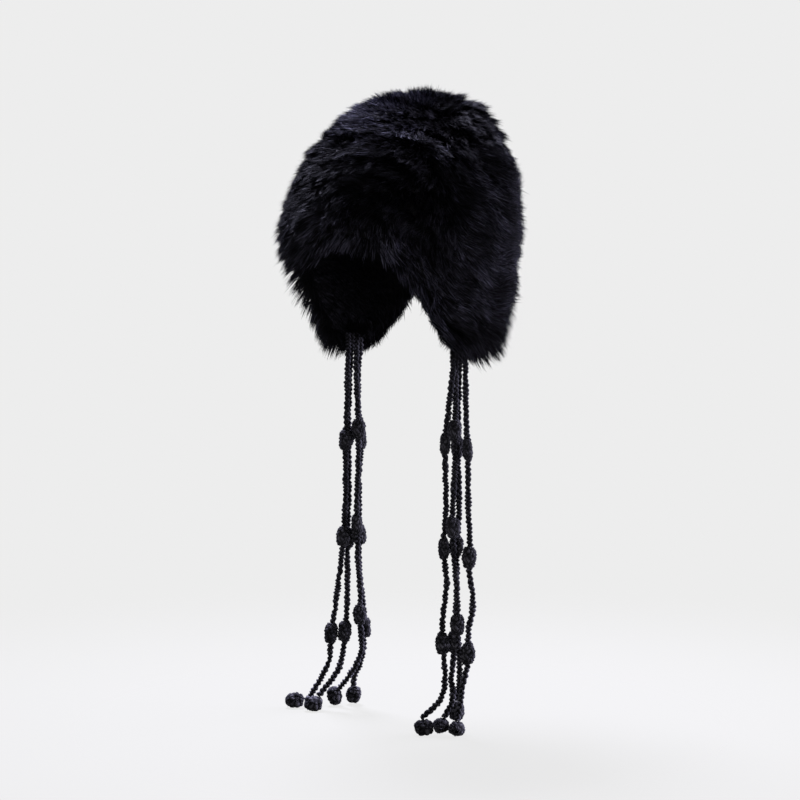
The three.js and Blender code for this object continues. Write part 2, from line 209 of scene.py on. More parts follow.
CORD_PLANS = (
    CordPlan(
        Flap.LEFT,
        1,
        bobble_rows=(6, 12, 19),
        end_middle=(0.347, -0.0304, 0.005),
        end_along=(0, 1, 0),
        route=(
            (0, -0.0056, 0.005), (0.012, -0.0053, 0.0054), (0.03, -0.0052, 0.006),
            (0.048, -0.0072, 0.005), (0.066, -0.0092, 0.0034), (0.083, -0.0112, 0.0016),
            (0.095, -0.0119, 0.001), (0.108, -0.0119, 0.0008), (0.128, -0.0114, 0.0008),
            (0.146, -0.011, 0), (0.163, -0.0115, -0.0014), (0.177, -0.0124, 0),
            (0.188, -0.0128, 0.0009), (0.199, -0.0123, 0.0012), (0.214, -0.0104, 0.0015),
            (0.227, -0.0109, 0.002), (0.239, -0.0126, 0.002), (0.252, -0.0139, 0.002),
            (0.262, -0.0143, 0.002), (0.272, -0.014, 0.002), (0.282, -0.0132, 0.002),
            (0.294, -0.012, 0.002), (0.305, -0.0118, 0.002), (0.315, -0.013, 0.002),
            (0.3235, -0.0166, 0.0025), (0.33, -0.0222, 0.003), (0.335, -0.0282, 0.004),
            (0.3387, -0.0334, 0.005),
        ),
    ),
    CordPlan(
        Flap.LEFT,
        2,
        bobble_rows=(6, 13, 20),
        end_middle=(0.334, -0.0012, -0.0034),
        end_along=(1, 0, 0),
        route=(
            (0, -0.0019, 0.0017), (0.012, -0.0022, 0.0016), (0.03, -0.0028, 0.0015),
            (0.048, -0.003, 0.0026), (0.064, -0.0029, 0.0045), (0.073, -0.0032, 0.0055),
            (0.0825, -0.0035, 0.006), (0.092, -0.0033, 0.006), (0.106, -0.0031, 0.0056),
            (0.12, -0.0036, 0.0052), (0.136, -0.0046, 0.005), (0.15, -0.0052, 0.005),
            (0.159, -0.0053, 0.005), (0.1685, -0.0052, 0.0052), (0.178, -0.0049, 0.0056),
            (0.192, -0.0042, 0.006), (0.206, -0.003, 0.0052), (0.22, -0.0018, 0.004),
            (0.234, -0.0012, 0.0032), (0.246, -0.0009, 0.003), (0.2555, -0.0008, 0.003),
            (0.265, -0.0006, 0.0033), (0.276, 0, 0.0038), (0.288, 0.0008, 0.003),
            (0.298, 0.0011, 0.0008), (0.308, 0.0008, -0.0014), (0.317, 0.0001, -0.0028),
            (0.325, -0.0007, -0.0034),
        ),
    ),
    CordPlan(
        Flap.LEFT,
        3,
        bobble_rows=(6, 13, 20),
        end_middle=(0.3455, -0.0152, 0.004),
        end_along=(0.2, 0, 1),
        route=(
            (0, 0.0019, -0.0017), (0.012, 0.0015, -0.002), (0.03, 0.0007, -0.003),
            (0.048, 0, -0.004),
            (0.066, -0.0003, -0.0047), (0.082, -0.0006, -0.005), (0.0975, -0.0008, -0.005),
            (0.109, -0.0005, -0.0047), (0.122, 0.0001, -0.004), (0.136, 0.0005, -0.0034),
            (0.15, 0.0005, -0.0032), (0.164, 0.0002, -0.0036), (0.175, -0.0008, -0.004),
            (0.1865, -0.0017, -0.0042), (0.198, -0.0017, -0.0042), (0.21, -0.0013, -0.004),
            (0.223, -0.0012, -0.004), (0.237, -0.0016, -0.0044), (0.25, -0.0024, -0.005),
            (0.262, -0.0032, -0.0052), (0.2725, -0.0036, -0.0052), (0.283, -0.004, -0.0048),
            (0.294, -0.005, -0.0038), (0.303, -0.0058, -0.0026), (0.311, -0.0054, -0.001),
            (0.318, -0.005, 0.001), (0.325, -0.0058, 0.0022), (0.3315, -0.0088, 0.0028),
            (0.3392, -0.0134, 0.003),
        ),
    ),
    CordPlan(
        Flap.LEFT,
        4,
        bobble_rows=(7, 14, 22),
        end_middle=(0.3465, -0.0016, 0.012),
        end_along=(0.15, 0, 1),
        route=(
            (0, 0.0056, -0.005), (0.012, 0.0056, -0.005), (0.03, 0.0058, -0.0038),
            (0.048, 0.0062, -0.0018), (0.066, 0.0064, 0.0004), (0.084, 0.007, 0.0028),
            (0.092, 0.0074, 0.0037), (0.1, 0.0078, 0.0043), (0.11, 0.0082, 0.0045),
            (0.126, 0.0082, 0.0036), (0.141, 0.0084, 0.0028), (0.156, 0.0089, 0.002),
            (0.171, 0.0097, 0.0014), (0.184, 0.01, 0.001), (0.1955, 0.0095, 0.001),
            (0.206, 0.0092, 0.001), (0.216, 0.0104, 0.0014), (0.226, 0.0124, 0.002),
            (0.236, 0.0128, 0.0024), (0.247, 0.0116, 0.0024), (0.258, 0.0096, 0.002),
            (0.27, 0.0086, 0.0014), (0.2815, 0.0084, 0.0011), (0.2925, 0.008, 0.0014),
            (0.301, 0.006, 0.0024), (0.309, 0.004, 0.0036), (0.317, 0.0029, 0.0046),
            (0.325, 0.002, 0.0064), (0.332, 0.0003, 0.0078), (0.3405, -0.0015, 0.0097),
        ),
    ),
    CordPlan(
        Flap.RIGHT,
        1,
        bobble_rows=(6, 12, 20),
        end_middle=(0.3468, -0.0568, -0.008),
        end_along=(0, 1, 0),
        route=(
            (0, -0.0056, 0.005), (0.012, -0.0056, 0.0049), (0.028, -0.0059, 0.0042),
            (0.046, -0.0063, 0.0036), (0.064, -0.0067, 0.0032), (0.083, -0.0074, 0.0032),
            (0.1, -0.008, 0.0035), (0.113, -0.0082, 0.0035), (0.131, -0.0081, 0.0033),
            (0.15, -0.0082, 0.003), (0.166, -0.0088, 0.003), (0.178, -0.0096, 0.003),
            (0.19, -0.0105, 0.003), (0.202, -0.0114, 0.003), (0.214, -0.0126, 0.003),
            (0.226, -0.0142, 0.003), (0.238, -0.0158, 0.003), (0.25, -0.0172, 0.003),
            (0.261, -0.0187, 0.003), (0.271, -0.0204, 0.003), (0.281, -0.0219, 0.003),
            (0.291, -0.0224, 0.003), (0.302, -0.023, 0.002), (0.312, -0.0256, 0.001),
            (0.321, -0.0298, -0.001), (0.329, -0.0342, -0.0035), (0.3365, -0.0384, -0.006),
            (0.343, -0.0426, -0.0076), (0.347, -0.0474, -0.008),
        ),
    ),
    CordPlan(
        Flap.RIGHT,
        2,
        bobble_rows=(6, 13, 20),
        end_middle=(0.3468, -0.0386, 0.0066),
        end_along=(0, 1, 0),
        route=(
            (0, -0.0019, 0.0017), (0.012, -0.0022, 0.0015), (0.028, -0.0036, -0.0012),
            (0.046, -0.0046, -0.004), (0.064, -0.0052, -0.0064), (0.082, -0.0057, -0.0084),
            (0.097, -0.006, -0.009), (0.11, -0.0058, -0.0086), (0.126, -0.0055, -0.0074),
            (0.144, -0.0054, -0.0066), (0.16, -0.0055, -0.0066), (0.172, -0.0059, -0.0075),
            (0.183, -0.0064, -0.0084), (0.193, -0.0067, -0.0087), (0.205, -0.0069, -0.0083),
            (0.218, -0.0069, -0.0056), (0.229, -0.007, -0.002), (0.242, -0.007, 0),
            (0.255, -0.007, 0.0012), (0.268, -0.0079, 0.0018), (0.2795, -0.0092, 0.002),
            (0.291, -0.0102, 0.002), (0.302, -0.0113, 0.002), (0.312, -0.0138, 0.0022),
            (0.3205, -0.0182, 0.0028), (0.328, -0.0234, 0.0036), (0.334, -0.0288, 0.0044),
            (0.34, -0.0346, 0.0054),
        ),
    ),
    CordPlan(
        Flap.RIGHT,
        3,
        bobble_rows=(6, 12, 19),
        end_middle=(0.3443, -0.0196, -0.0176),
        end_along=(1, 0.25, 0.1),
        route=(
            (0, 0.0019, -0.0017), (0.012, 0.002, -0.0006), (0.028, 0.0019, 0.0008),
            (0.046, 0.0022, 0.0024), (0.064, 0.0028, 0.0038), (0.078, 0.0035, 0.0047),
            (0.0895, 0.0041, 0.0051), (0.101, 0.0041, 0.0054), (0.114, 0.0037, 0.0054),
            (0.13, 0.0032, 0.0051), (0.148, 0.0024, 0.005), (0.165, 0.0021, 0.0052),
            (0.179, 0.0025, 0.0056), (0.191, 0.0028, 0.0058), (0.204, 0.0028, 0.0055),
            (0.218, 0.0035, 0.0048), (0.232, 0.0046, 0.0043), (0.243, 0.0052, 0.0041),
            (0.253, 0.0052, 0.004), (0.2635, 0.005, 0.004), (0.275, 0.0057, 0.0041),
            (0.288, 0.0066, 0.004), (0.299, 0.0058, 0.003), (0.3075, 0.003, 0.001),
            (0.315, -0.0004, -0.0018), (0.3215, -0.0042, -0.0052), (0.3275, -0.0082, -0.0088),
            (0.333, -0.0122, -0.012), (0.3384, -0.0158, -0.0148),
        ),
    ),
    CordPlan(
        Flap.RIGHT,
        4,
        bobble_rows=(7, 13, 20),
        end_middle=(0.3444, -0.0014, -0.0234),
        end_along=(1, -0.2, -0.45),
        route=(
            (0, 0.0056, -0.005), (0.012, 0.0055, -0.0049), (0.028, 0.0042, -0.005),
            (0.046, 0.0031, -0.0048), (0.064, 0.0033, -0.0046), (0.08, 0.0044, -0.0046),
            (0.09, 0.0054, -0.0047), (0.1, 0.0061, -0.0047), (0.111, 0.0058, -0.0045),
            (0.127, 0.0048, -0.004), (0.145, 0.0042, -0.004), (0.162, 0.0041, -0.004),
            (0.176, 0.0043, -0.0042), (0.1895, 0.0046, -0.0043), (0.202, 0.0045, -0.0042),
            (0.216, 0.0044, -0.0038), (0.231, 0.0052, -0.0038), (0.245, 0.0068, -0.0042),
            (0.257, 0.008, -0.0046), (0.267, 0.0087, -0.0048), (0.277, 0.0089, -0.0048),
            (0.287, 0.0086, -0.005), (0.298, 0.008, -0.0058), (0.3075, 0.0068, -0.008),
            (0.315, 0.0042, -0.011), (0.3215, 0.001, -0.014), (0.328, -0.0012, -0.017),
            (0.3361, -0.0018, -0.0202),
        ),
    ),
)


# Bobbles that are worked narrower than the rest: flap, cord, bobble, share of the usual width.
NARROW_BOBBLES = {
    (Flap.LEFT, 1, 1): 0.74,
    (Flap.LEFT, 4, 1): 0.72,
    (Flap.LEFT, 1, 2): 0.8,
    (Flap.LEFT, 3, 1): 0.9,
    (Flap.RIGHT, 4, 1): 0.84,
    (Flap.RIGHT, 3, 2): 0.88,
    (Flap.RIGHT, 2, 1): 0.92,
}


def unit(vectors: np.ndarray) -> np.ndarray:
    """Returns vectors at length one."""
    return vectors / np.maximum(np.linalg.norm(vectors, axis=-1, keepdims=True), TINY)


def even_turns(count: int) -> np.ndarray:
    """Returns angles spread evenly round one turn."""
    return TURN * np.arange(count) / count


def from_brow(angle: np.ndarray) -> np.ndarray:
    """Returns angles as at most half a turn to either side of the brow."""
    return (angle + math.pi) % TURN - math.pi


def spokes(side: np.ndarray, other: np.ndarray, turn: np.ndarray) -> np.ndarray:
    """Returns directions at each turn round a line, from its two crosswise directions."""
    return (
        side[:, None] * np.cos(turn)[None, :, None] + other[:, None] * np.sin(turn)[None, :, None]
    )


def smooth_step(low: float, high: float, values: np.ndarray) -> np.ndarray:
    """Returns a soft rise from 0 at low to 1 at high."""
    share = np.clip((values - low) / (high - low), 0, 1)
    return share * share * (3 - 2 * share)


def curve_weights(t: np.ndarray) -> tuple[np.ndarray, ...]:
    """Weighs what shapes a smooth span of a curve.

    Args:
        t: How far along the span each wanted point lies, from 0 to 1.

    Returns:
        The weights of the span's start, the slope there, its end, and the slope there.
    """
    return (
        (1 + 2 * t) * (1 - t) ** 2,
        t * (1 - t) ** 2,
        t**2 * (3 - 2 * t),
        t**2 * (t - 1),
    )


def smooth_table(places: np.ndarray, table: np.ndarray, wanted: np.ndarray) -> np.ndarray:
    """Reads a table between its rows along a smooth curve.

    Args:
        places: Where each row of the table lies, rising.
        table: One row of values for each place.
        wanted: The places to read at.

    Returns:
        One row of values for each wanted place.
    """
    slopes = np.gradient(table, places, axis=0)
    row = np.clip(np.searchsorted(places, wanted, side="right") - 1, 0, len(places) - 2)
    span = places[row + 1] - places[row]
    start, leave, end, arrive = curve_weights(((wanted - places[row]) / span)[..., None])
    span = span[..., None]
    return (
        start * table[row]
        + leave * span * slopes[row]
        + end * table[row + 1]
        + arrive * span * slopes[row + 1]
    )


@dataclass(frozen=True)
class Drift:
    """A pattern of slow uneven numbers over space: how far apart its hills lie, and its seed."""

    size: float
    seed: int
    waves: int = 7
    stretch: tuple[float, float] = (0.7, 1.4)

    def at(self, points: np.ndarray) -> np.ndarray:
        """Returns one number for each point, mostly between -1 and 1."""
        rng = np.random.default_rng(self.seed)
        total = np.zeros(points.shape[:-1])
        for _ in range(self.waves):
            heading = unit(rng.normal(size=3)) * rng.uniform(*self.stretch) * TURN / self.size
            total += np.sin(points @ heading + rng.uniform(0, TURN))
        return total / math.sqrt(self.waves)


def hang_direction(row: tuple[float, float, float]) -> np.ndarray:
    """Turns a drop, across and forward into a direction of the hat."""
    return row[0] * DOWN + row[1] * ACROSS + row[2] * FORWARD


def sewn_top(flap: Flap) -> np.ndarray:
    """Returns where a flap's four cords are sewn on."""
    return np.array([SEW_HALF_SPAN * flap.value, SEW_BACK, SEW_HEIGHT])


def add_object(name: str, data: bpy.types.ID) -> bpy.types.Object:
    """Makes an object of some data and adds it to the scene."""
    made = bpy.data.objects.new(name, data)
    bpy.context.scene.collection.objects.link(made)
    return made


def mesh_object(
    name: str,
    vertices: np.ndarray,
    faces: list[np.ndarray],
    material: bpy.types.Material,
    tone: np.ndarray | None = None,
    smooth: bool = True,
) -> bpy.types.Object:
    """Makes a mesh piece that rides on the hat.

    Args:
        name: The piece's name.
        vertices: One row of x, y and z for each corner.
        faces: Arrays of faces, each with one count of corners.
        material: The piece's material.
        tone: A number for each vertex that the material reads, or None.
        smooth: Whether its faces are shaded as one smooth surface.

    Returns:
        The new object.
    """
    mesh = bpy.data.meshes.new(name)
    mesh.vertices.add(len(vertices))
    mesh.vertices.foreach_set("co", vertices.astype(np.float32).ravel())
    corners = np.concatenate([f.ravel() for f in faces]).astype(np.int32)
    sizes = np.concatenate([np.full(len(f), f.shape[1]) for f in faces])
    mesh.loops.add(len(corners))
    mesh.loops.foreach_set("vertex_index", corners)
    mesh.polygons.add(len(sizes))
    starts = np.concatenate([[0], np.cumsum(sizes)[:-1]]).astype(np.int32)
    mesh.polygons.foreach_set("loop_start", starts)
    mesh.update(calc_edges=True)
    mesh.polygons.foreach_set("use_smooth", np.full(len(sizes), smooth))
    if tone is not None:
        layer = mesh.attributes.new("tone", "FLOAT", "POINT")
        layer.data.foreach_set("value", tone.astype(np.float32))
    mesh.materials.append(material)
    piece = add_object(name, mesh)
    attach(piece, BODY)
    LOG.info("%s: %d faces", name, len(sizes))
    return piece


def grid_faces(rows: int, columns: int, closed: bool) -> np.ndarray:
    """Joins a grid of vertices into four-cornered faces.

    Args:
        rows: How many rows the grid has.
        columns: How many vertices each row has.
        closed: Whether each row runs round to its own start.

    Returns:
        One row of four vertex numbers for each face.
    """
    row = np.arange(rows - 1)[:, None] * columns
    column = np.arange(columns if closed else columns - 1)[None, :]
    after = (column + 1) % columns
    return np.stack(
        [row + column, row + columns + column, row + columns + after, row + after], -1
    ).reshape(-1, 4)


@dataclass
class Strands:
    """Hairs as thin three-sided spikes, gathered before they become one mesh."""

    vertices: list[np.ndarray] = field(default_factory=list)
    faces: list[np.ndarray] = field(default_factory=list)
    tones: list[np.ndarray] = field(default_factory=list)
    count: int = 0
    twist: float = 1.0
    corners: int = 3
    hidden_corner: int = 1

    def add(
        self,
        rng: np.random.Generator,
        rings: list[np.ndarray],
        radii: list[np.ndarray],
        tips: np.ndarray,
        shade: np.ndarray,
        facing: np.ndarray | None = None,
    ) -> None:
        """Adds spikes that run through rings of three corners to a tip.

        Args:
            rng: Turns each spike about its own length.
            rings: The middles of each ring, from the root out.
            radii: Each ring's radius, one for each spike.
            tips: The points that the spikes end in.
            shade: How light each spike is, from 0 to 1.
            facing: The way that the ridge of each spike faces, or None for any way. A spike that
                faces a way has no hidden side under it.
        """
        spikes = len(tips)
        along = unit(tips - rings[0])
        if facing is None:
            side = unit(np.cross(along, unit(rng.normal(size=(spikes, 3)))))
        else:
            side = unit(facing - along * np.sum(facing * along, axis=1, keepdims=True))
            twist = rng.normal(size=spikes)[:, None] * self.twist
            side = side * np.cos(twist) + np.cross(along, side) * np.sin(twist)
        spoke = spokes(side, np.cross(along, side), even_turns(self.corners))
        parts = []
        tone = []
        for number, (middle, radius) in enumerate(zip(rings, radii)):
            parts.append(middle[:, None] + spoke * radius[:, None, None])
            ring_tone = (shade * number / len(rings))[:, None]
            tone.append(np.repeat(ring_tone, self.corners, axis=1))
        parts.append(tips[:, None])
        tone.append(shade[:, None])
        points = np.concatenate(parts, axis=1)
        per_spike = points.shape[1]
        base = self.count + np.arange(spikes)[:, None] * per_spike
        for ring in range(len(rings)):
            low = base + self.corners * ring
            high = low + self.corners
            for corner in range(self.corners):
                after = (corner + 1) % self.corners
                if facing is not None and corner == self.hidden_corner:
                    continue
                if ring == len(rings) - 1:
                    self.faces.append(np.hstack([low + corner, low + after, high]))
                else:
                    self.faces.append(
                        np.hstack([low + corner, low + after, high + after, high + corner])
                    )
        self.vertices.append(points.reshape(-1, 3))
        self.tones.append(np.concatenate(tone, axis=1).ravel())
        self.count += spikes * per_spike

    def add_surface(
        self, vertices: np.ndarray, faces: np.ndarray, tones: np.ndarray | None = None
    ) -> None:
        """Adds a surface, such as the felted roots under the pile or a ply of yarn.

        Args:
            vertices: One row of x, y and z for each corner.
            faces: One row of vertex numbers for each face.
            tones: How light it is at each vertex, from 0 to 1, or None for all dark.
        """
        self.faces.append(faces + self.count)
        self.vertices.append(vertices)
        self.tones.append(np.zeros(len(vertices)) if tones is None else tones)
        self.count += len(vertices)

    def build(
        self, name: str, material: bpy.types.Material, smooth: bool = False
    ) -> bpy.types.Object:
        """Turns everything gathered into one piece."""
        vertices = np.concatenate(self.vertices)
        tones = np.concatenate(self.tones)
        return mesh_object(name, vertices, self.faces, material, tones, smooth)


@dataclass
class HatForm:
    """The shape of the knitted backing, and what lies at a place and an angle on it.

    A place is a row of SECTIONS, fractions included. An angle turns from the brow towards the
    wearer's left.
    """

    steps: int = 4000
    look: float = 0.01
    spread_grid: tuple[int, int] = (500, 720)
    spread_look: float = 1e-3
    nearest_share: float = 0.002

    def __post_init__(self) -> None:
        """Reads how far down each place lies, once."""
        self.rows = np.arange(len(SECTIONS), dtype=float)
        self.places = np.linspace(0, len(SECTIONS) - 1, self.steps)
        self.drops = smooth_table(self.rows, SECTIONS, self.places)[:, 0]

    def point(self, place: np.ndarray, angle: np.ndarray) -> np.ndarray:
        """Returns points of the backing's outer face."""
        drop, width, depth, back, _ = np.moveaxis(smooth_table(self.rows, SECTIONS, place), -1, 0)
        return np.stack(
            [width * np.sin(angle), back - depth * np.cos(angle), KNIT_TOP - drop], axis=-1
        )

    def pile(self, place: np.ndarray) -> np.ndarray:
        """Returns the length of the fur."""
        return smooth_table(self.rows, SECTIONS, place)[..., PILE_COLUMN]

    def directions(self, place: np.ndarray, angle: np.ndarray) -> tuple[np.ndarray, ...]:
        """Finds the ways out, down and round.

        Args:
            place: Places on the hat.
            angle: Angles from the brow.

        Returns:
            The directions square to the face, down along it and round along it.
        """
        step = self.look
        place = np.maximum(place, 2 * step)
        down = unit(self.point(place + step, angle) - self.point(place - step, angle))
        around = unit(self.point(place, angle + step) - self.point(place, angle - step))
        out = unit(np.cross(down, around))
        return out, down, np.cross(out, down)

    def edge_place(self, angle: np.ndarray, layer: Layer) -> np.ndarray:
        """Returns the place where a layer ends at an angle."""
        degrees = np.degrees(angle) % 360
        degrees = np.minimum(degrees, 360 - degrees)
        height = smooth_table(EDGES[:, 0], EDGES, degrees)[..., layer.value]
        return np.interp(KNIT_TOP - height, self.drops, self.places)

    def dome(self, rows: int, columns: int) -> tuple[np.ndarray, ...]:
        """Lays a grid of rings from the crown to the knit's edge.

        Args:
            rows: How many rings it has.
            columns: How many points each ring has.

        Returns:
            Each point's share of the way to the edge, its angle, and its place.
        """
        share, angle = np.meshgrid(
            np.linspace(POLE_SHARE, 1, rows), even_turns(columns), indexing="ij"
        )
        return share, angle, self.edge_place(angle, Layer.KNIT) * share

    def overhang(self, angle: np.ndarray) -> np.ndarray:
        """Returns how far the fur hangs lower than the knit at an angle."""
        turned = (np.degrees(angle) + 180) % 360 - 180
        heights = smooth_table(EDGES[:, 0], EDGES, np.abs(turned))
        hanging = heights[..., Layer.KNIT.value] - heights[..., Layer.FUR.value]
        return hanging * np.interp(turned, TRIM[:, 0], TRIM[:, 1])

    def spread(
        self, rng: np.random.Generator, spacing: float, low: float, high: float
    ) -> tuple[np.ndarray, np.ndarray]:
        """Spreads points evenly over a band of the backing.

        Args:
            rng: Shifts each point a little.
            spacing: How far apart the points lie.
            low: Where the band begins, as a share of the way from the crown to the edge.
            high: Where it ends.

        Returns:
            The place and the angle of each point.
        """
        rows, columns = self.spread_grid
        shares = low + (high - low) * (np.arange(rows) + 0.5) / rows
        angles = TURN * (np.arange(columns) + 0.5) / columns
        share, angle = np.meshgrid(shares, angles, indexing="ij")
        edge = self.edge_place(angle, Layer.KNIT)
        tiny = self.spread_look
        middle = self.point(edge * share, angle)
        down = (self.point(edge * (share + tiny), angle) - middle) / tiny
        around = (self.point(edge * share, angle + tiny) - middle) / tiny
        area = np.linalg.norm(np.cross(down, around), axis=-1)
        area *= (high - low) / rows * TURN / columns
        total = np.cumsum(area.ravel())
        count = int(total[-1] / spacing**2)
        picks = (np.arange(count) + rng.uniform(size=count)) / count * total[-1]
        cells = np.minimum(np.searchsorted(total, picks), rows * columns - 1)
        share = share.ravel()[cells] + (high - low) / rows * rng.uniform(-0.5, 0.5, count)
        angle = angle.ravel()[cells] + TURN / columns * rng.uniform(-0.5, 0.5, count)
        return self.edge_place(angle, Layer.KNIT) * np.clip(share, self.nearest_share, 1), angle


class Region(Enum):
    """A part of the outer pile that is a piece of its own: its name and its band of angles."""

    CROWN = "fur_crown"
    BROW = "fur_brow"
    LEFT = "fur_left_flap"
    NAPE = "fur_nape"
    RIGHT = "fur_right_flap"

    @property
    def number(self) -> int:
        """The region's place in the order of the regions."""
        return list(Region).index(self)


@dataclass
class FurPile:
    """The outer pile: lapped rows of locks, each made of clumps of hairs that meet at their tips.

    Lengths are in metres. A height or a reach is a share of the pile's length.
    """

    form: HatForm
    material: bpy.types.Material
    seed: int = 20
    # Clumps and hairs.
    clump_spacing: float = 0.0024
    clump_hairs: int = 7
    clump_spread: float = 0.0026
    clump_width: float = 0.62
    tip_gather: float = 0.2
    hair_radius: float = 0.00052
    edge_hair_radius: float = 0.00045
    radius_range: tuple[float, float] = (0.6, 1.3)
    length_range: tuple[float, float] = (0.7, 1.05)
    looseness: float = 0.04
    root_share: float = 0.45
    # Regions: shares of the way to the edge, and angles from the brow.
    crown_share: float = 0.42
    edge_share: float = 0.93
    brow_limit: float = math.radians(52)
    nape_limit: float = math.radians(132)
    # Rows and locks.
    row_places: tuple[float, ...] = (0, 0.24, 1)
    row_reach: tuple[float, ...] = (1.0, 0.8, 1.06)
    row_warp: float = 0.22
    row_drift: Drift = Drift(0.06, 61)
    lock_reach: float = 0.06
    lock_drift: Drift = Drift(0.05, 62)
    lock_span: tuple[float, float] = (0.1, 0.6)
    lock_share: float = 0.6
    lock_share_drift: Drift = Drift(0.07, 63)
    uneven_reach: float = 0.12
    uneven_shares: tuple[float, float] = (0.6, 0.4)
    uneven_drift: Drift = Drift(0.03, 5)
    # How the hairs are combed: degrees from the brow, and turns in radians.
    comb: float = 0.62
    comb_shares: tuple[float, float, float] = (0.75, 0.5, 0.15)
    back_rise: tuple[float, float] = (58, 112)
    back_fall: tuple[float, float] = (150, 180)
    back_turn: float = 1.15
    forward_rise: tuple[float, float] = (4, 22)
    forward_fall: tuple[float, float] = (36, 62)
    forward_turn: float = 0.5
    turning_span: tuple[float, float] = (0.2, 0.5)
    swirl: float = 0.55
    swirl_drift: Drift = Drift(0.05, 11)
    fine_swirl: float = 0.4
    fine_swirl_drift: Drift = Drift(0.018, 12)
    lock_turn: float = 0.12
    loose_turn: float = 0.16
    # The fringe along the edge.
    hang_range: tuple[float, float] = (0.8, 1.3)
    hang_straight: float = 0.6
    hang_flare: float = 0.08
    bend_place: float = 0.42
    bend_out: float = 0.14
    bend_thickness: float = 0.8
    # Lightness, from 0 to 1: slow random patches, the least factor that a patch of painted shade
    # may leave, and each hair's random share.
    light_middle: float = 0.5
    light_swing: float = 0.4
    light_range: tuple[float, float] = (0.2, 1)
    light_drift: Drift = Drift(0.025, 41)
    darkest_patch: float = 0.08
    shade_shape: tuple[float, float] = (0.3, 1.3)
    # The wool under the hairs' tips.
    under_share: float = 0.5
    felt_rows: int = 90
    felt_columns: int = 256
    felt_follow: float = 0.5
    felt_level: float = 0.9
    felt_bumps: float = 0.0008
    felt_drift: Drift = Drift(0.009, 3)
    felt_rim_sink: float = 0.8
    # The whorl at the crown's pole.
    whorl_hairs: int = 700
    whorl_radius: float = 0.012
    whorl_aim: tuple[float, float, float] = (0.55, 0.35, 0.5)
    whorl_lengths: tuple[float, float] = (0.45, 0.75)
    whorl_light: float = 0.5
    whorl_shape: tuple[float, float] = (0.45, 1.5)

    def region_of(self, place: np.ndarray, angle: np.ndarray) -> np.ndarray:
        """Returns the number of the region that each point lies in."""
        turned = from_brow(angle)
        off = np.abs(turned)
        share = place / self.form.edge_place(angle, Layer.KNIT)
        side = np.where(turned > 0, Region.LEFT.number, Region.RIGHT.number)
        around = np.where(off > self.nape_limit, Region.NAPE.number, side)
        around = np.where(off < self.brow_limit, Region.BROW.number, around)
        return np.where(share < self.crown_share, Region.CROWN.number, around)

    def reach_of(self, place: np.ndarray, angle: np.ndarray) -> tuple[np.ndarray, ...]:
        """Works out how the lapped rows and their locks shape the pile.

        Args:
            place: Places on the hat.
            angle: Angles from the brow.

        Returns:
            The pile's height as a share of its length, how far down its row each point lies,
            and which way round the middle of its lock is.
        """
        spot = self.form.point(place, angle)
        row = place / self.form.edge_place(angle, Layer.FUR) * FUR_ROWS
        row = np.maximum(row + self.row_warp * self.row_drift.at(spot), 0)
        within = row % 1
        turn = FUR_COLUMNS / 2 * angle + math.pi * np.floor(row) + self.lock_drift.at(spot)
        strength = self.lock_share + self.lock_share * self.lock_share_drift.at(spot)
        lobe = np.cos(turn) * smooth_step(*self.lock_span, within) * strength
        reach = np.interp(within, self.row_places, self.row_reach) + self.lock_reach * lobe
        return reach, within, -np.sin(turn)

    def flow(self, place: np.ndarray, angle: np.ndarray) -> np.ndarray:
        """Finds which way the hairs are combed.

        Args:
            place: Places on the hat.
            angle: Angles from the brow.

        Returns:
            The turn from straight down towards the way round, in radians: forward over the brow,
            back over the sides, and in slow swirls.
        """
        turned = from_brow(angle)
        off = np.degrees(np.abs(turned))
        back = smooth_step(*self.back_rise, off) * (1 - smooth_step(*self.back_fall, off))
        forward = smooth_step(*self.forward_rise, off) * (1 - smooth_step(*self.forward_fall, off))
        low = smooth_step(*self.turning_span, place / self.form.edge_place(angle, Layer.KNIT))
        turn = np.sign(turned) * low * (self.back_turn * back - self.forward_turn * forward)
        spot = self.form.point(place, angle)
        turn = turn + self.swirl * self.swirl_drift.at(spot)
        return turn + self.fine_swirl * self.swirl * self.fine_swirl_drift.at(spot)

    def clumps(self, rng: np.random.Generator, low: float, high: float) -> dict[str, np.ndarray]:
        """Places clumps over a band of the hat and aims them.

        Args:
            rng: Makes each clump a little different.
            low: Where the band begins, as a share of the way from the crown to the edge.
            high: Where it ends.

        Returns:
            The clumps' roots, ways down and round, tips, and regions.
        """
        place, angle = self.form.spread(rng, self.clump_spacing, low, high)
        root = self.form.point(place, angle)
        out, down, around = self.form.directions(place, angle)
        reach, within, toward = self.reach_of(place, angle)
        edge = self.form.edge_place(angle, Layer.KNIT)
        share = place / edge
        count = len(place)
        slow, quick = self.uneven_shares
        uneven = rng.normal(size=count).clip(-NORMAL_LIMIT, NORMAL_LIMIT)
        reach = reach + self.uneven_reach * (slow * self.uneven_drift.at(root) + quick * uneven)
        pile = self.form.pile(place) * reach
        turn = self.flow(place, angle) + self.lock_turn * toward
        turn = turn + self.loose_turn * rng.normal(size=count)
        least, lower, loose = self.comb_shares
        comb = pile * self.comb * (least + lower * within + loose * rng.normal(size=count))
        overhang = self.form.overhang(angle) * rng.uniform(*self.hang_range, count)
        room = root[:, 2] - self.form.point(edge, angle)[:, 2] + overhang
        hang = smooth_step(self.edge_share, 1.0, share)
        drop = np.minimum(comb * np.cos(turn) * (1 - hang) + room * hang, room)
        aside = comb * np.sin(turn) * (1 - self.hang_straight * hang)
        tip = root + out * (pile * (1 + self.hang_flare * hang))[:, None]
        tip = tip + down * drop[:, None] + around * aside[:, None]
        return {
            "root": root,
            "out": out,
            "down": down,
            "around": around,
            "tip": tip,
            "pile": pile,
            "region": self.region_of(place, angle),
        }

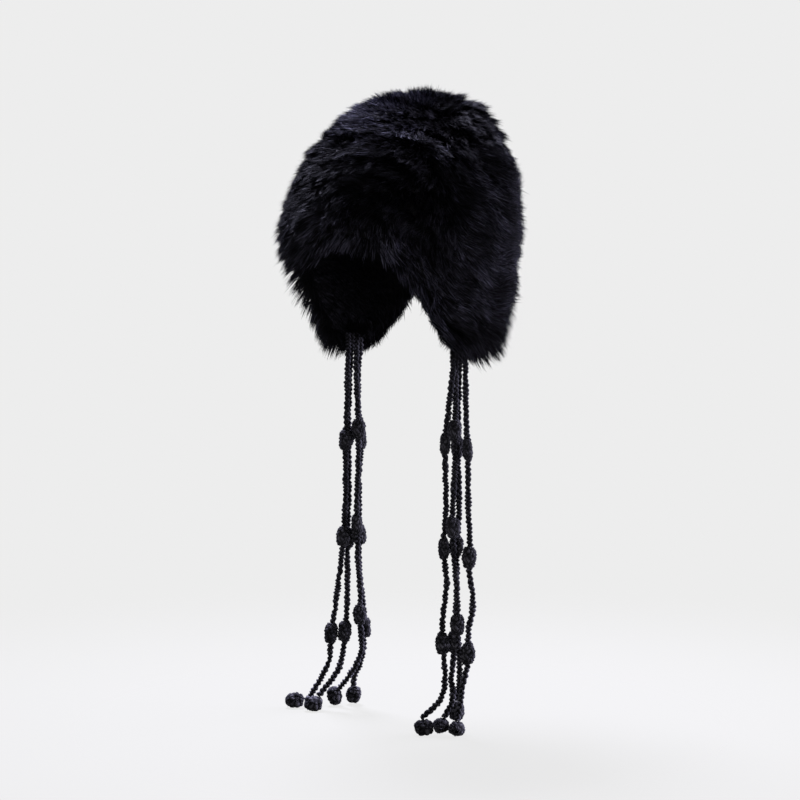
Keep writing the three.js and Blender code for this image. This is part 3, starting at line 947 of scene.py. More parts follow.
    def lightness(self, roots: np.ndarray) -> np.ndarray:
        """Returns how light the fur is: slow random patches, times painted light and shade."""
        light = self.light_middle + self.light_swing * self.light_drift.at(roots)
        light = np.clip(light, *self.light_range)
        # The patches of painted highlight and painted shade.
        for angle, share, size, more in PAINTED_LIGHT_PATCHES:
            turn = np.radians(angle)
            middle = self.form.point(self.form.edge_place(turn, Layer.KNIT) * share, turn)
            off = np.linalg.norm(roots - middle, axis=-1) / size
            light = light * np.maximum(1 + more * np.exp(-off * off), self.darkest_patch)
        return light

    def hairs(
        self, rng: np.random.Generator, clumps: dict[str, np.ndarray], bent: bool
    ) -> dict[Region, Strands]:
        """Fills clumps with hairs.

        Args:
            rng: Makes each hair a little different.
            clumps: What clumps() returned.
            bent: Whether the hairs bend in the middle, as they do along the bottom edge.

        Returns:
            The hairs of each region.
        """
        regions = {region: Strands() for region in Region}
        pick = np.repeat(np.arange(len(clumps["root"])), self.clump_hairs)
        count = len(pick)
        aside = rng.normal(size=(count, 2)).clip(-NORMAL_LIMIT, NORMAL_LIMIT)
        aside = aside * self.clump_spread * self.clump_width
        offset = clumps["down"][pick] * aside[:, :1] + clumps["around"][pick] * aside[:, 1:]
        out = clumps["out"][pick]
        pile = clumps["pile"][pick][:, None]
        root = clumps["root"][pick] + offset
        if not bent:
            root = root + out * pile * self.root_share
        length = rng.uniform(*self.length_range, count)[:, None]
        aim = clumps["tip"][pick] + offset * (1 - self.tip_gather) - root
        loose = rng.normal(size=(count, 3)) * self.looseness * pile
        tip = root + aim * length + loose
        # Each hair's shade: the fur's tone with its painted light and shade, times a random
        # lightness.
        shade = self.lightness(clumps["root"])[pick] * rng.beta(*self.shade_shape, count)
        radius = self.hair_radius * rng.uniform(*self.radius_range, count)
        for region in Region:
            chosen = clumps["region"][pick] == region.number
            if bent:
                middle = root + self.bend_place * (tip - root) + out * (self.bend_out * pile)
                thick = self.edge_hair_radius / self.hair_radius * radius
                rings = [root[chosen], middle[chosen]]
                radii = [thick[chosen], self.bend_thickness * thick[chosen]]
            else:
                rings = [root[chosen]]
                radii = [radius[chosen]]
            regions[region].add(rng, rings, radii, tip[chosen], shade[chosen], out[chosen])
        return regions

    def add_felt(self, strands: Strands) -> None:
        """Adds the dense dark wool under the hairs' tips, closed at the crown's pole."""
        share, angle, place = self.form.dome(self.felt_rows, self.felt_columns)
        reach, _, _ = self.reach_of(place, angle)
        points = self.form.point(place, angle)
        out, _, _ = self.form.directions(place, angle)
        height = self.under_share + self.felt_follow * (reach - self.felt_level)
        height = self.form.pile(place) * height + self.felt_bumps * self.felt_drift.at(points)
        height = height * (1 - self.felt_rim_sink * smooth_step(self.edge_share, 1, share))
        points = points + out * height[..., None]
        faces = grid_faces(self.felt_rows, self.felt_columns, closed=True)
        strands.add_surface(points.reshape(-1, 3), faces)
        ring = points[0]
        corner = np.arange(self.felt_columns)
        fan = np.stack([corner, np.roll(corner, -1), np.full_like(corner, len(corner))], -1)
        strands.add_surface(np.vstack([ring, ring.mean(axis=0)]), fan)

    def add_whorl(self, rng: np.random.Generator, strands: Strands) -> None:
        """Covers the pole of the crown, which the combed hairs all lead away from.

        Args:
            rng: Makes each hair a little different.
            strands: Gathers the hairs.
        """
        count = self.whorl_hairs
        turn = rng.uniform(0, TURN, count)
        off = self.whorl_radius * np.sqrt(rng.uniform(size=count))
        level = np.stack([np.cos(turn), np.sin(turn), np.zeros(count)], -1)
        pile = float(self.form.pile(np.array(0.0)))
        root = self.form.point(np.zeros(1), np.zeros(1)) + level * off[:, None]
        root = root + UP * (self.root_share * pile)
        rise, gather, loose = self.whorl_aim
        heading = unit(UP * rise - level * gather + loose * rng.normal(size=(count, 3)))
        length = pile * rng.uniform(*self.whorl_lengths, count)
        shade = self.whorl_light * rng.beta(*self.whorl_shape, count)
        radius = self.hair_radius * rng.uniform(*self.radius_range, count)
        facing = np.repeat(UP[None], count, axis=0)
        strands.add(rng, [root], [radius], root + heading * length[:, None], shade, facing)

    def build(self) -> list[bpy.types.Object]:
        """Grows the whole pile and returns its pieces."""
        rng = np.random.default_rng(self.seed)
        body = self.hairs(rng, self.clumps(rng, 0.0, self.edge_share), bent=False)
        edge = self.hairs(rng, self.clumps(rng, self.edge_share, 1.0), bent=True)
        self.add_felt(body[Region.CROWN])
        self.add_whorl(rng, body[Region.CROWN])
        pieces = []
        for region in Region:
            strands = body[region]
            extra = edge[region]
            strands.faces += [faces + strands.count for faces in extra.faces]
            strands.vertices += extra.vertices
            strands.tones += extra.tones
            piece = strands.build(region.value, self.material)
            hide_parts("fur_outer")
            pieces.append(piece)
        return pieces


@dataclass
class Stitch:
    """A V-shaped stitch of the knit: shares of a stitch's width, and of its height."""

    start: float = 0.1
    slant: float = 0.24
    half_width: float = 0.19
    low: float = 0.55
    swell: float = 0.45

    def height(self, around: np.ndarray, along: np.ndarray) -> np.ndarray:
        """Raises a surface in stitches.

        Args:
            around: Where a point lies across the stitches, one for each.
            along: Where it lies along them, one for each row.

        Returns:
            The height of the yarn there, from 0 to 1.
        """
        aside = np.abs(around % 1 - 0.5)
        lengthwise = along % 1
        off = (aside - self.start - self.slant * lengthwise) / self.half_width
        strand = np.sqrt(np.clip(1 - off**2, 0, 1))
        return strand * (self.low + self.swell * np.sin(math.pi * lengthwise))


@dataclass
class KnitLining:
    """The knitted backing and the softer fur on its inside."""

    form: HatForm
    material: bpy.types.Material
    stitch: Stitch = field(default_factory=Stitch)
    seed: int = 31
    # The wall.
    rows: int = 90
    columns: int = 192
    stitch_columns: int = 64
    stitch_rows: int = 44
    relief: float = 0.0006
    wall_inset: float = 0.0003
    # The inner fur. Its lean and sway mix a steady part, slow drifts and looseness.
    hair_spacing: float = 0.0021
    hair_length: float = 0.010
    hair_lengths: tuple[float, float] = (0.7, 1.15)
    hair_radius: float = 0.0004
    hair_radii: tuple[float, float] = (0.7, 1.3)
    bare_share: float = 0.12
    root_inset: float = 0.0006
    lean: tuple[float, float, float] = (0.55, 0.75, 0.2)
    lean_start: float = 0.85
    lean_drift: Drift = Drift(0.02, 77)
    sway: tuple[float, float] = (0.3, 0.15)
    sway_drift: Drift = Drift(0.015, 78)
    shade_shape: tuple[float, float] = (1.0, 2.2)
    # The hairs along the bottom rim.
    rim_hairs: int = 9000
    rim_start: float = 0.975
    rim_lengths: tuple[float, float] = (0.6, 1.15)
    rim_lean: tuple[float, float, float] = (0.55, 0.75, 0.15)
    rim_sway: tuple[float, float] = (0.35, 0.12)
    rim_drift: Drift = Drift(0.02, 79)
    rim_radii: tuple[float, float] = (0.6, 1.1)
    rim_light: float = 0.5
    # The tufts over the cords' sewn tops.
    tuft_hairs: int = 500
    tuft_spread: tuple[float, float] = (0.014, 0.006)
    tuft_rise: float = 0.006
    tuft_length: float = 0.012
    tuft_lengths: tuple[float, float] = (0.6, 1.1)
    tuft_radii: tuple[float, float] = (0.7, 1.2)
    tuft_depth: float = 0.003
    tuft_follow: float = 0.5
    tuft_inward: float = 0.45
    tuft_loose: float = 0.16
    tuft_light: float = 0.6

    def shell(self) -> tuple[np.ndarray, list[np.ndarray]]:
        """Makes the knitted wall, with its stitches raised on the inside.

        Returns:
            The vertices and the faces of a closed wall.
        """
        share, angle, place = self.form.dome(self.rows, self.columns)
        outside = self.form.point(place, angle)
        out, _, _ = self.form.directions(place, angle)
        stitch = self.stitch.height(angle / TURN * self.stitch_columns, share * self.stitch_rows)
        depth = WALL - self.wall_inset + self.relief * (stitch - 1)
        inside = outside - out * depth[..., None]
        faces = grid_faces(self.rows, self.columns, closed=True)
        count = self.rows * self.columns
        first = np.arange(self.columns)
        last = count - self.columns + first
        after = np.roll(last, -1)
        rim = np.stack([last, last + count, after + count, after], -1)
        caps = [first[None, :], first[None, ::-1] + count]
        vertices = np.concatenate([outside.reshape(-1, 3), inside.reshape(-1, 3)])
        return vertices, [faces, faces[:, ::-1] + count, rim, *caps]

    def build(self) -> list[bpy.types.Object]:
        """Builds the wall and its inner fur."""
        vertices, faces = self.shell()
        wall = mesh_object("knit_backing", vertices, faces, self.material, np.zeros(len(vertices)))
        rng = np.random.default_rng(self.seed)
        strands = Strands()
        self.add_pile(rng, strands)
        self.add_rim(rng, strands)
        self.add_tufts(rng, strands)
        lining = strands.build("fur_lining", self.material)
        for piece in (wall, lining):
            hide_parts("knit_base")
        return [wall, lining]

    def add_pile(self, rng: np.random.Generator, strands: Strands) -> None:
        """Adds the soft hairs that cover the inside."""
        place, angle = self.form.spread(rng, self.hair_spacing, self.bare_share, 1.0)
        out, down, around = self.form.directions(place, angle)
        root = self.form.point(place, angle) - out * (WALL - self.root_inset)
        share = place / self.form.edge_place(angle, Layer.KNIT)
        count = len(place)
        length = self.hair_length * rng.uniform(*self.hair_lengths, count)
        steady, lower, drifting = self.lean
        tilt = steady + lower * smooth_step(self.lean_start, 1, share)
        tilt = tilt + drifting * self.lean_drift.at(root)
        drifting, loose = self.sway
        sway = drifting * self.sway_drift.at(root) + loose * rng.normal(size=count)
        heading = unit(-out + down * tilt[:, None] + around * sway[:, None])
        tip = root + heading * length[:, None]
        shade = rng.beta(*self.shade_shape, count)
        radius = self.hair_radius * rng.uniform(*self.hair_radii, count)
        strands.add(rng, [root], [radius], tip, shade, -out)

    def add_rim(self, rng: np.random.Generator, strands: Strands) -> None:
        """Adds hairs that hang from the wall's bottom rim and hide it."""
        count = self.rim_hairs
        angle = rng.uniform(0, TURN, count)
        edge = self.form.edge_place(angle, Layer.KNIT)
        place = edge * rng.uniform(self.rim_start, 1, count)
        out, down, around = self.form.directions(place, angle)
        depth = rng.uniform(0, 1, count)
        root = self.form.point(place, angle) - out * (depth * WALL)[:, None]
        length = self.form.overhang(angle) * rng.uniform(*self.rim_lengths, count)
        outer, inner, loose = self.rim_lean
        lean = outer - inner * depth + loose * rng.normal(size=count)
        drifting, loose = self.rim_sway
        sway = drifting * self.rim_drift.at(root) + loose * rng.normal(size=count)
        heading = unit(down + out * lean[:, None] + around * sway[:, None])
        radius = self.hair_radius * rng.uniform(*self.rim_radii, count)
        shade = self.rim_light * rng.beta(*self.shade_shape, count)
        strands.add(rng, [root], [radius], root + heading * length[:, None], shade, out)

    def add_tufts(self, rng: np.random.Generator, strands: Strands) -> None:
        """Adds the longer hairs that cover the cords' sewn tops, inside the flaps."""
        count = self.tuft_hairs
        for flap in Flap:
            spot = rng.uniform(-1, 1, (count, 2)) * np.array(self.tuft_spread)
            inward = np.array([-flap.value, 0.0, 0.0])
            root = sewn_top(flap) + ACROSS * spot[:, :1] + UP * (self.tuft_rise + spot[:, 1:])
            follow = self.tuft_follow * spot[:, :1] * ACROSS[0] * flap.value
            root = root - inward * (self.tuft_depth + follow)
            loose = self.tuft_loose * rng.normal(size=(count, 3))
            heading = unit(DOWN + self.tuft_inward * inward + loose)
            length = self.tuft_length * rng.uniform(*self.tuft_lengths, count)
            radius = self.hair_radius * rng.uniform(*self.tuft_radii, count)
            shade = self.tuft_light * rng.beta(*self.shade_shape, count)
            strands.add(rng, [root], [radius], root + heading * length[:, None], shade)


@dataclass
class Yarn:
    """What the cords and bobbles share: the loose fibres that stand off the yarn."""

    fibre_radius: float = 0.00007
    fibre_radii: tuple[float, float] = (0.7, 1.2)
    fibre_length: float = 0.0013
    fibre_lengths: tuple[float, float] = (0.3, 1.3)
    looseness: float = 0.8
    light: float = 0.4
    end_rows: int = 2

    def fuzz(
        self, rng: np.random.Generator, strands: Strands, roots: np.ndarray, normals: np.ndarray
    ) -> None:
        """Adds a loose fibre at each root."""
        count = len(roots)
        heading = unit(normals + self.looseness * rng.normal(size=(count, 3)))
        length = self.fibre_length * rng.uniform(*self.fibre_lengths, count)
        tips = roots + heading * length[:, None]
        radius = self.fibre_radius * rng.uniform(*self.fibre_radii, count)
        strands.add(rng, [roots], [radius], tips, np.full(count, self.light))


@dataclass
class Cord:
    """A crocheted cord, three plies crossing as in a chain, with its bobbles.

    Lengths are in metres.
    """

    plan: CordPlan
    cord_material: bpy.types.Material
    bobble_material: bpy.types.Material
    yarn: Yarn = field(default_factory=Yarn)
    # The plies, and how they cross.
    plies: int = 3
    ply_sides: int = 7
    ply_radius: float = 0.0014
    ply_swing: float = 0.00155
    ply_lift: float = 0.0011
    crossing: float = 0.0122
    step: float = 0.00092
    curve_steps: int = 40
    pointed: float = 0.05
    side_radius: tuple[float, float] = (0.8, 0.3)
    # Stitches and unevenness.
    stitch: float = 0.0041
    stitch_lump: float = 0.15
    stitch_hurry: float = 1.6
    wobble: float = 0.0003
    wobble_size: float = 0.011
    swell: float = 0.1
    swell_size: float = 0.014
    hurry: float = 0.8
    hurry_size: float = 0.024
    # Lightness, from 0 to 1: painted shade in the hollows between the plies, and painted light
    # along the cord, with a painted shadow under the flap at its top and more light towards its
    # end.
    hollow: float = 0.0013
    crest: float = 0.0033
    light_places: tuple[float, ...] = (0.0, 0.045, 0.18, 0.25, 0.34)
    light_shares: tuple[float, ...] = (0.2, 0.38, 0.5, 0.85, 1.2)
    fleck_range: tuple[float, float] = (0.15, 1.5)
    fleck_rows: int = 3
    # Loose fibres.
    fibres: int = 700
    fibre_root: float = 0.4
    # Seeds, and the painted light of its bobbles, which grows from the first one down.
    seed: int = 100
    seed_step: int = 10
    drift_seed_step: int = 7
    bobble_light: float = 0.5
    bobble_light_step: float = 0.15

    @property
    def name(self) -> str:
        """The cord's side and number."""
        return f"{self.plan.flap.name.lower()}_{self.plan.number}"

    @property
    def sew_point(self) -> np.ndarray:
        """Where the flap's four cords are sewn on."""
        return sewn_top(self.plan.flap)

    def route(self) -> np.ndarray:
        """Returns the route's points in the hat's frame."""
        return np.array([self.sew_point + hang_direction(row) for row in self.plan.route])

    def curve(self) -> tuple[np.ndarray, np.ndarray]:
        """Draws the smooth curve through the route.

        Returns:
            Fine points of the curve, and how far along it each of them lies.
        """
        route = self.route()
        points = np.vstack([2 * route[0] - route[1], route, 2 * route[-1] - route[-2]])
        gaps = np.sqrt(np.linalg.norm(np.diff(points, axis=0), axis=1))
        t = np.linspace(0, 1, self.curve_steps, endpoint=False)[:, None]
        at_start, leaving, at_end, arriving = curve_weights(t)
        line = []
        for i in range(1, len(points) - 2):
            before, here, after, beyond = points[i - 1 : i + 3]
            g0, g1, g2 = gaps[i - 1 : i + 2]
            start = (here - before) / g0 - (after - before) / (g0 + g1) + (after - here) / g1
            end = (after - here) / g1 - (beyond - here) / (g1 + g2) + (beyond - after) / g2
            start, end = start * g1, end * g1
            line.append(at_start * here + leaving * start + at_end * after + arriving * end)
        line = np.vstack([*line, points[-2][None]])
        run = np.concatenate([[0], np.cumsum(np.linalg.norm(np.diff(line, axis=0), axis=1))])
        return line, run

    def centres(self) -> tuple[np.ndarray, np.ndarray]:
        """Returns evenly spaced points of the curve and its directions there."""
        line, run = self.curve()
        count = int(run[-1] / self.step)
        wanted = np.linspace(0, run[-1], count)
        points = np.stack([np.interp(wanted, run, line[:, axis]) for axis in range(3)], -1)
        return points, unit(np.gradient(points, axis=0))

    def carried_frame(self, along: np.ndarray) -> tuple[np.ndarray, np.ndarray]:
        """Carries two crosswise directions along the curve without twisting them.

        Args:
            along: The curve's directions.

        Returns:
            The two crosswise directions at each point.
        """
        side = np.empty_like(along)
        current = np.cross(FORWARD, along[0])
        for i, heading in enumerate(along):
            current = current - heading * (current @ heading)
            current = current / np.linalg.norm(current)
            side[i] = current
        return side, np.cross(along, side)

    def add_plies(
        self,
        rng: np.random.Generator,
        strands: Strands,
        points: np.ndarray,
        side: np.ndarray,
        other: np.ndarray,
    ) -> None:
        """Adds the plies that cross along the cord.

        Args:
            rng: Flecks each ply.
            strands: Gathers the surfaces.
            points: Evenly spaced points of the cord's middle line.
            side: The way that the cord is wide, at each point.
            other: The way that it is thick, at each point.
        """
        rows = len(points)
        run = np.arange(rows) * self.step
        seed = self.drift_seed_step * self.plan.number + self.plan.flap.value
        wander = self.wobble * Drift(self.wobble_size, seed).at(points)
        swell = 1 + self.swell * Drift(self.swell_size, seed + 1).at(points)
        hurry = self.hurry * Drift(self.hurry_size, seed + 2).at(points)
        spoke = spokes(side, other, even_turns(self.ply_sides))
        # Painted light along the cord: a painted shadow near the sewn top, under the flap, and
        # lighter towards the end.
        light = np.interp(run, self.light_places, self.light_shares)
        least, more = self.side_radius
        for ply in range(self.plies):
            phase = TURN * (run / self.crossing + ply / self.plies) + hurry
            swing = self.ply_swing * swell * np.sin(phase) + wander
            lift = self.ply_lift * np.sin(2 * phase)
            middle = points + side * swing[:, None] + other * lift[:, None]
            ends = np.minimum(run, run[-1] - run) / self.ply_radius
            radius = self.ply_radius * np.sqrt(np.clip(ends, self.pointed, 1)) * swell
            lump = TURN * (run / self.stitch + ply / self.plies) + self.stitch_hurry * hurry
            radius = radius * (least + more * np.sin(phase) ** 2)
            radius = radius * (1 + self.stitch_lump * np.sin(lump))
            tube = middle[:, None] + spoke * radius[:, None, None]
            off = np.linalg.norm(tube - points[:, None], axis=-1)
            fleck = rng.uniform(*self.fleck_range, rows // self.fleck_rows + 2)
            fleck = np.interp(np.arange(rows) / self.fleck_rows, np.arange(len(fleck)), fleck)
            # Painted shade: darker nearer the cord's middle line, in the hollows, times random
            # flecks and the painted light along the cord.
            tone = smooth_step(self.hollow, self.crest, off) * fleck[:, None] * light[:, None]
            faces = grid_faces(rows, self.ply_sides, closed=True)
            strands.add_surface(tube.reshape(-1, 3), faces, tone.ravel())

    def build(self) -> None:
        seed = self.seed + self.seed_step * self.plan.number + self.plan.flap.value
        rng = np.random.default_rng(seed)
        points, along = self.centres()
        side, other = self.carried_frame(along)
        strands = Strands()
        self.add_plies(rng, strands, points, side, other)
        margin = self.yarn.end_rows
        at = rng.integers(margin, len(points) - margin, self.fibres)
        aim = rng.uniform(0, TURN, self.fibres)
        normal = side[at] * np.cos(aim)[:, None] + other[at] * np.sin(aim)[:, None]
        self.yarn.fuzz(rng, strands, points[at] + normal * CORD_DIAMETER * self.fibre_root, normal)
        cord = strands.build(f"crochet_cord_{self.name}", self.cord_material, smooth=True)
        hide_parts(f"cord_{self.name}")
        bobbles = self.build_bobbles()
        length = float(self.curve()[1][-1])
        tuple(self.route()[0])
        LOG.info("cord %s: %.4f m long", self.name, length)

    def build_bobbles(self) -> list[bpy.types.Object]:
        """Builds the cord's three middle bobbles and its last one."""
        line, _ = self.curve()
        bobbles = []
        for number, row in enumerate(self.plan.bobble_rows, start=1):
            at = row * self.curve_steps
            heading = unit(line[at + 1] - line[at - 1])
            girth = NARROW_BOBBLES.get((self.plan.flap, self.plan.number, number), 1.0)
            # Painted light: each bobble lower down is made lighter.
            light = self.bobble_light + self.bobble_light_step * (number - 1)
            bobble = Bobble(f"{self.name}_{number}", line[at], heading, girth=girth, light=light)
            bobbles.append(bobble.build(self.bobble_material, self.yarn))
        middle = self.sew_point + hang_direction(self.plan.end_middle)
        heading = unit(hang_direction(self.plan.end_along))
        last = EndBobble(f"{self.name}_end", middle, heading)
        bobbles.append(last.build(self.bobble_material, self.yarn))
        return bobbles


@dataclass
class Bobble:
    """A crocheted bobble that a cord runs through, worked in rounds of stitches.

    Lengths are in metres.
    """

    name: str
    middle: np.ndarray
    along: np.ndarray
    length: float = 0.019
    width: float = 0.0125
    thickness: float = 0.011
    bore: float = 0.0066
    girth: float = 1.0
    mouth: float = 0.0042
    tuck_start: float = 0.9
    tuck_radius: float = 0.0017
    fullness: float = 0.6
    upright: float = 0.8
    # Stitches.
    stitches: int = 11
    rounds: float = 6.0
    relief: float = 0.0014
    relief_level: float = 0.6
    relief_fade: float = 0.5
    roundness: float = 0.6
    warp: float = 0.3
    round_warp_size: float = 1.1
    stitch_warp_size: float = 1.0
    # The mesh, its unevenness, its painted light, and the random lightness of its stitches.
    columns: int = 66
    rows: int = 37
    uneven: float = 0.0004
    uneven_size: float = 0.008
    fibres: int = 260
    light: float = 0.55
    light_range: tuple[float, float] = (0.1, 1.4)
    seed_step: int = 3

    def frame(self) -> tuple[np.ndarray, np.ndarray]:
        """Returns the ways that its width and its thickness lie."""
        side = ACROSS if abs(ACROSS @ self.along) < self.upright else DOWN
        facing = unit(np.cross(side, self.along))
        return np.cross(self.along, facing), facing

    def crochet(
        self, rng: np.random.Generator, around: np.ndarray, along: np.ndarray
    ) -> tuple[np.ndarray, np.ndarray]:
        """Works out the stitches, each round half a stitch further on than the last.

        Args:
            rng: Makes one stitch lighter than another.
            around: How far round the bobble each point lies, from 0 to 1.
            along: How far along it each point lies, from 0 to 1.

        Returns:
            How high the yarn stands at each point, and how light it is there, both from 0 to 1.
        """
        turn = TURN * around
        spot = np.stack([np.cos(turn), np.sin(turn), 2 * self.length / self.width * along], -1)
        round_warp = self.warp * Drift(self.round_warp_size, self.stitches).at(spot)
        level = np.clip(along * self.rounds + round_warp, 0, self.rounds)
        course = np.floor(level).astype(int)
        stitch_warp = self.warp * Drift(self.stitch_warp_size, self.rows).at(spot)
        place = around * self.stitches + 0.5 * course + stitch_warp
        stitch = np.floor(place).astype(int)
        height = np.abs(np.sin(math.pi * (place - stitch)) * np.sin(math.pi * (level - course)))
        height = height**self.roundness
        light = rng.uniform(*self.light_range, (int(self.rounds) + 2, self.stitches))
        # The lightness is painted shade, darker where the yarn stands low between stitches, times
        # each stitch's random lightness and the bobble's painted light.
        return height, height**2 * (self.light * light)[course, stitch % self.stitches]

    def build(self, material: bpy.types.Material, yarn: Yarn) -> bpy.types.Object:
        """Builds the bobble.

        Args:
            material: The crochet's material.
            yarn: Gives the loose fibres.

        Returns:
            The bobble's piece.
        """
        seed = sum(ord(char) * (place + self.seed_step) for place, char in enumerate(self.name))
        rng = np.random.default_rng(seed)
        reach = math.acos(min(self.mouth, self.bore) / self.width)
        share, turn = np.meshgrid(
            np.linspace(-1, 1, self.rows), even_turns(self.columns), indexing="ij"
        )
        arc = reach * share
        wide, facing = self.frame()
        height, tone = self.crochet(rng, turn / TURN, (share + 1) / 2)
        relief = self.relief * (height - self.relief_level) * np.cos(arc) ** self.relief_fade
        radius = self.width / 2 * np.cos(arc) ** self.fullness + relief
        run = np.sin(arc) / math.sin(reach) * self.length / 2
        tuck = smooth_step(self.tuck_start, 1, np.abs(share))
        radius = self.girth * (radius * (1 - tuck) + self.tuck_radius * tuck)
        flat = self.thickness / self.width
        points = (
            self.middle
            + self.along * run[..., None]
            + wide * (radius * np.cos(turn))[..., None]
            + facing * (flat * radius * np.sin(turn))[..., None]
        )
        uneven = self.uneven * Drift(self.uneven_size, seed).at(points)
        points = points + unit(points - self.middle) * uneven[..., None]
        strands = Strands()
        faces = grid_faces(self.rows, self.columns, closed=True)
        strands.add_surface(points.reshape(-1, 3), faces, tone.ravel())
        rows = rng.integers(yarn.end_rows, self.rows - yarn.end_rows, self.fibres)
        columns = rng.integers(0, self.columns, self.fibres)
        roots = points[rows, columns]
        yarn.fuzz(rng, strands, roots, unit(roots - self.middle))
        piece = strands.build(f"crochet_bobble_{self.name}", material, smooth=True)
        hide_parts(f"bobble_{self.name}")
        return piece


@dataclass
class EndBobble(Bobble):
    """The rounder bobble that closes a cord's end."""

    length: float = 0.017
    width: float = 0.014
    thickness: float = 0.0116
    bore: float = 0.0
    stitches: int = 12
    rounds: float = 5.6
    # Painted light: the end bobble is made lighter than the others.
    light: float = 1.3


def math_node(nodes: bpy.types.Nodes, operation: str, *values: float | None) -> bpy.types.Node:
    """Adds a math node, with its inputs set where a value is given."""
    node = nodes.new("ShaderNodeMath")
    node.operation = operation
    for number, value in enumerate(values):
        if value is not None:
            node.inputs[number].default_value = value
    return node


def noise_node(nodes: bpy.types.Nodes, detail: float) -> bpy.types.Node:
    """Adds a noise node with some detail."""
    node = nodes.new("ShaderNodeTexNoise")
    node.inputs["Detail"].default_value = detail
    return node


class FibreTone:
    """The shared colour of fibres: darker at the root, with slow patches and fine flecks."""

    group: bpy.types.ShaderNodeTree | None = None
    patch_detail: float = 3
    fleck_detail: float = 2
    sockets = (
        ("Root Colour", "NodeSocketColor", (0, 0, 0, 1)),
        ("Tip Colour", "NodeSocketColor", (1, 1, 1, 1)),
        ("Tone", "NodeSocketFloat", 0.5),
        ("Patch Scale", "NodeSocketFloat", 30.0),
        ("Patch Amount", "NodeSocketFloat", 0.3),
        ("Fleck Scale", "NodeSocketFloat", 900.0),
    )

    @classmethod
    def tree(cls) -> bpy.types.ShaderNodeTree:
        """Builds the node group once and returns it."""
        if cls.group is not None:
            return cls.group
        tree = bpy.data.node_groups.new("fibre_tone", "ShaderNodeTree")
        for name, kind, value in cls.sockets:
            socket = tree.interface.new_socket(name, in_out="INPUT", socket_type=kind)
            socket.default_value = value
        tree.interface.new_socket("Colour", in_out="OUTPUT", socket_type="NodeSocketColor")
        tree.interface.new_socket("Mask", in_out="OUTPUT", socket_type="NodeSocketFloat")
        nodes, links = tree.nodes, tree.links
        given = nodes.new("NodeGroupInput")
        result = nodes.new("NodeGroupOutput")
        coordinates = nodes.new("ShaderNodeTexCoord")
        both = math_node(nodes, "ADD")
        for number, (scale, detail) in enumerate(
            (("Patch Scale", cls.patch_detail), ("Fleck Scale", cls.fleck_detail))
        ):
            noise = noise_node(nodes, detail)
            links.new(coordinates.outputs["Object"], noise.inputs["Vector"])
            links.new(given.outputs[scale], noise.inputs["Scale"])
            links.new(noise.outputs["Fac"], both.inputs[number])
        centred = math_node(nodes, "SUBTRACT", None, 1.0)
        mask = math_node(nodes, "MULTIPLY_ADD")
        mask.use_clamp = True
        mix = nodes.new("ShaderNodeMix")
        mix.data_type = "RGBA"
        root, tip = (socket for socket in mix.inputs if socket.type == "RGBA")
        mixed = next(socket for socket in mix.outputs if socket.type == "RGBA")
        links.new(both.outputs[0], centred.inputs[0])
        links.new(centred.outputs[0], mask.inputs[0])
        links.new(given.outputs["Patch Amount"], mask.inputs[1])
        links.new(given.outputs["Tone"], mask.inputs[2])
        links.new(mask.outputs[0], mix.inputs["Factor"])
        links.new(given.outputs["Root Colour"], root)
        links.new(given.outputs["Tip Colour"], tip)
        links.new(mixed, result.inputs["Colour"])
        links.new(mask.outputs[0], result.inputs["Mask"])
        cls.group = tree
        return tree


@dataclass(frozen=True)
class FibreFinish:
    """The finish of one kind of hair or yarn."""

    name: str
    root_colour: tuple[float, float, float]
    tip_colour: tuple[float, float, float]
    patch_scale: float
    patch_amount: float
    roughness: float
    specular: float
    fleck_scale: float = 700
    sheen: float = 0.0
    sheen_roughness: float = 0.5
    sheen_tint: tuple[float, float, float] = (0.8, 0.85, 1.0)
    base_tone: float = 0.0
    bump_distance: float = 0.0
    bump_scale: float = 1500.0
    bump_detail: float = 3

    def make(self) -> bpy.types.Material:
        """Builds the material."""
        material = bpy.data.materials.new(self.name)
        material.use_nodes = True
        nodes, links = material.node_tree.nodes, material.node_tree.links
        shader = nodes["Principled BSDF"]
        tone = nodes.new("ShaderNodeGroup")
        tone.node_tree = FibreTone.tree()
        for name, value in (
            ("Root Colour", (*self.root_colour, 1)),
            ("Tip Colour", (*self.tip_colour, 1)),
            ("Patch Scale", self.patch_scale),
            ("Patch Amount", self.patch_amount),
            ("Fleck Scale", self.fleck_scale),
        ):
            tone.inputs[name].default_value = value
        lift = math_node(nodes, "ADD", None, self.base_tone)
        stored = nodes.new("ShaderNodeAttribute")
        stored.attribute_name = "tone"
        links.new(stored.outputs["Fac"], lift.inputs[0])
        links.new(lift.outputs[0], tone.inputs["Tone"])
        links.new(tone.outputs["Colour"], shader.inputs["Base Color"])
        shader.inputs["Roughness"].default_value = self.roughness
        shader.inputs["Specular IOR Level"].default_value = self.specular
        shader.inputs["Sheen Weight"].default_value = self.sheen
        shader.inputs["Sheen Roughness"].default_value = self.sheen_roughness
        shader.inputs["Sheen Tint"].default_value = (*self.sheen_tint, 1)
        if self.bump_distance:
            coordinates = nodes.new("ShaderNodeTexCoord")
            fibres = noise_node(nodes, self.bump_detail)
            fibres.inputs["Scale"].default_value = self.bump_scale
            bump = nodes.new("ShaderNodeBump")
            bump.inputs["Distance"].default_value = self.bump_distance
            links.new(coordinates.outputs["Object"], fibres.inputs["Vector"])
            links.new(fibres.outputs["Fac"], bump.inputs["Height"])
            links.new(bump.outputs["Normal"], shader.inputs["Normal"])
        return material


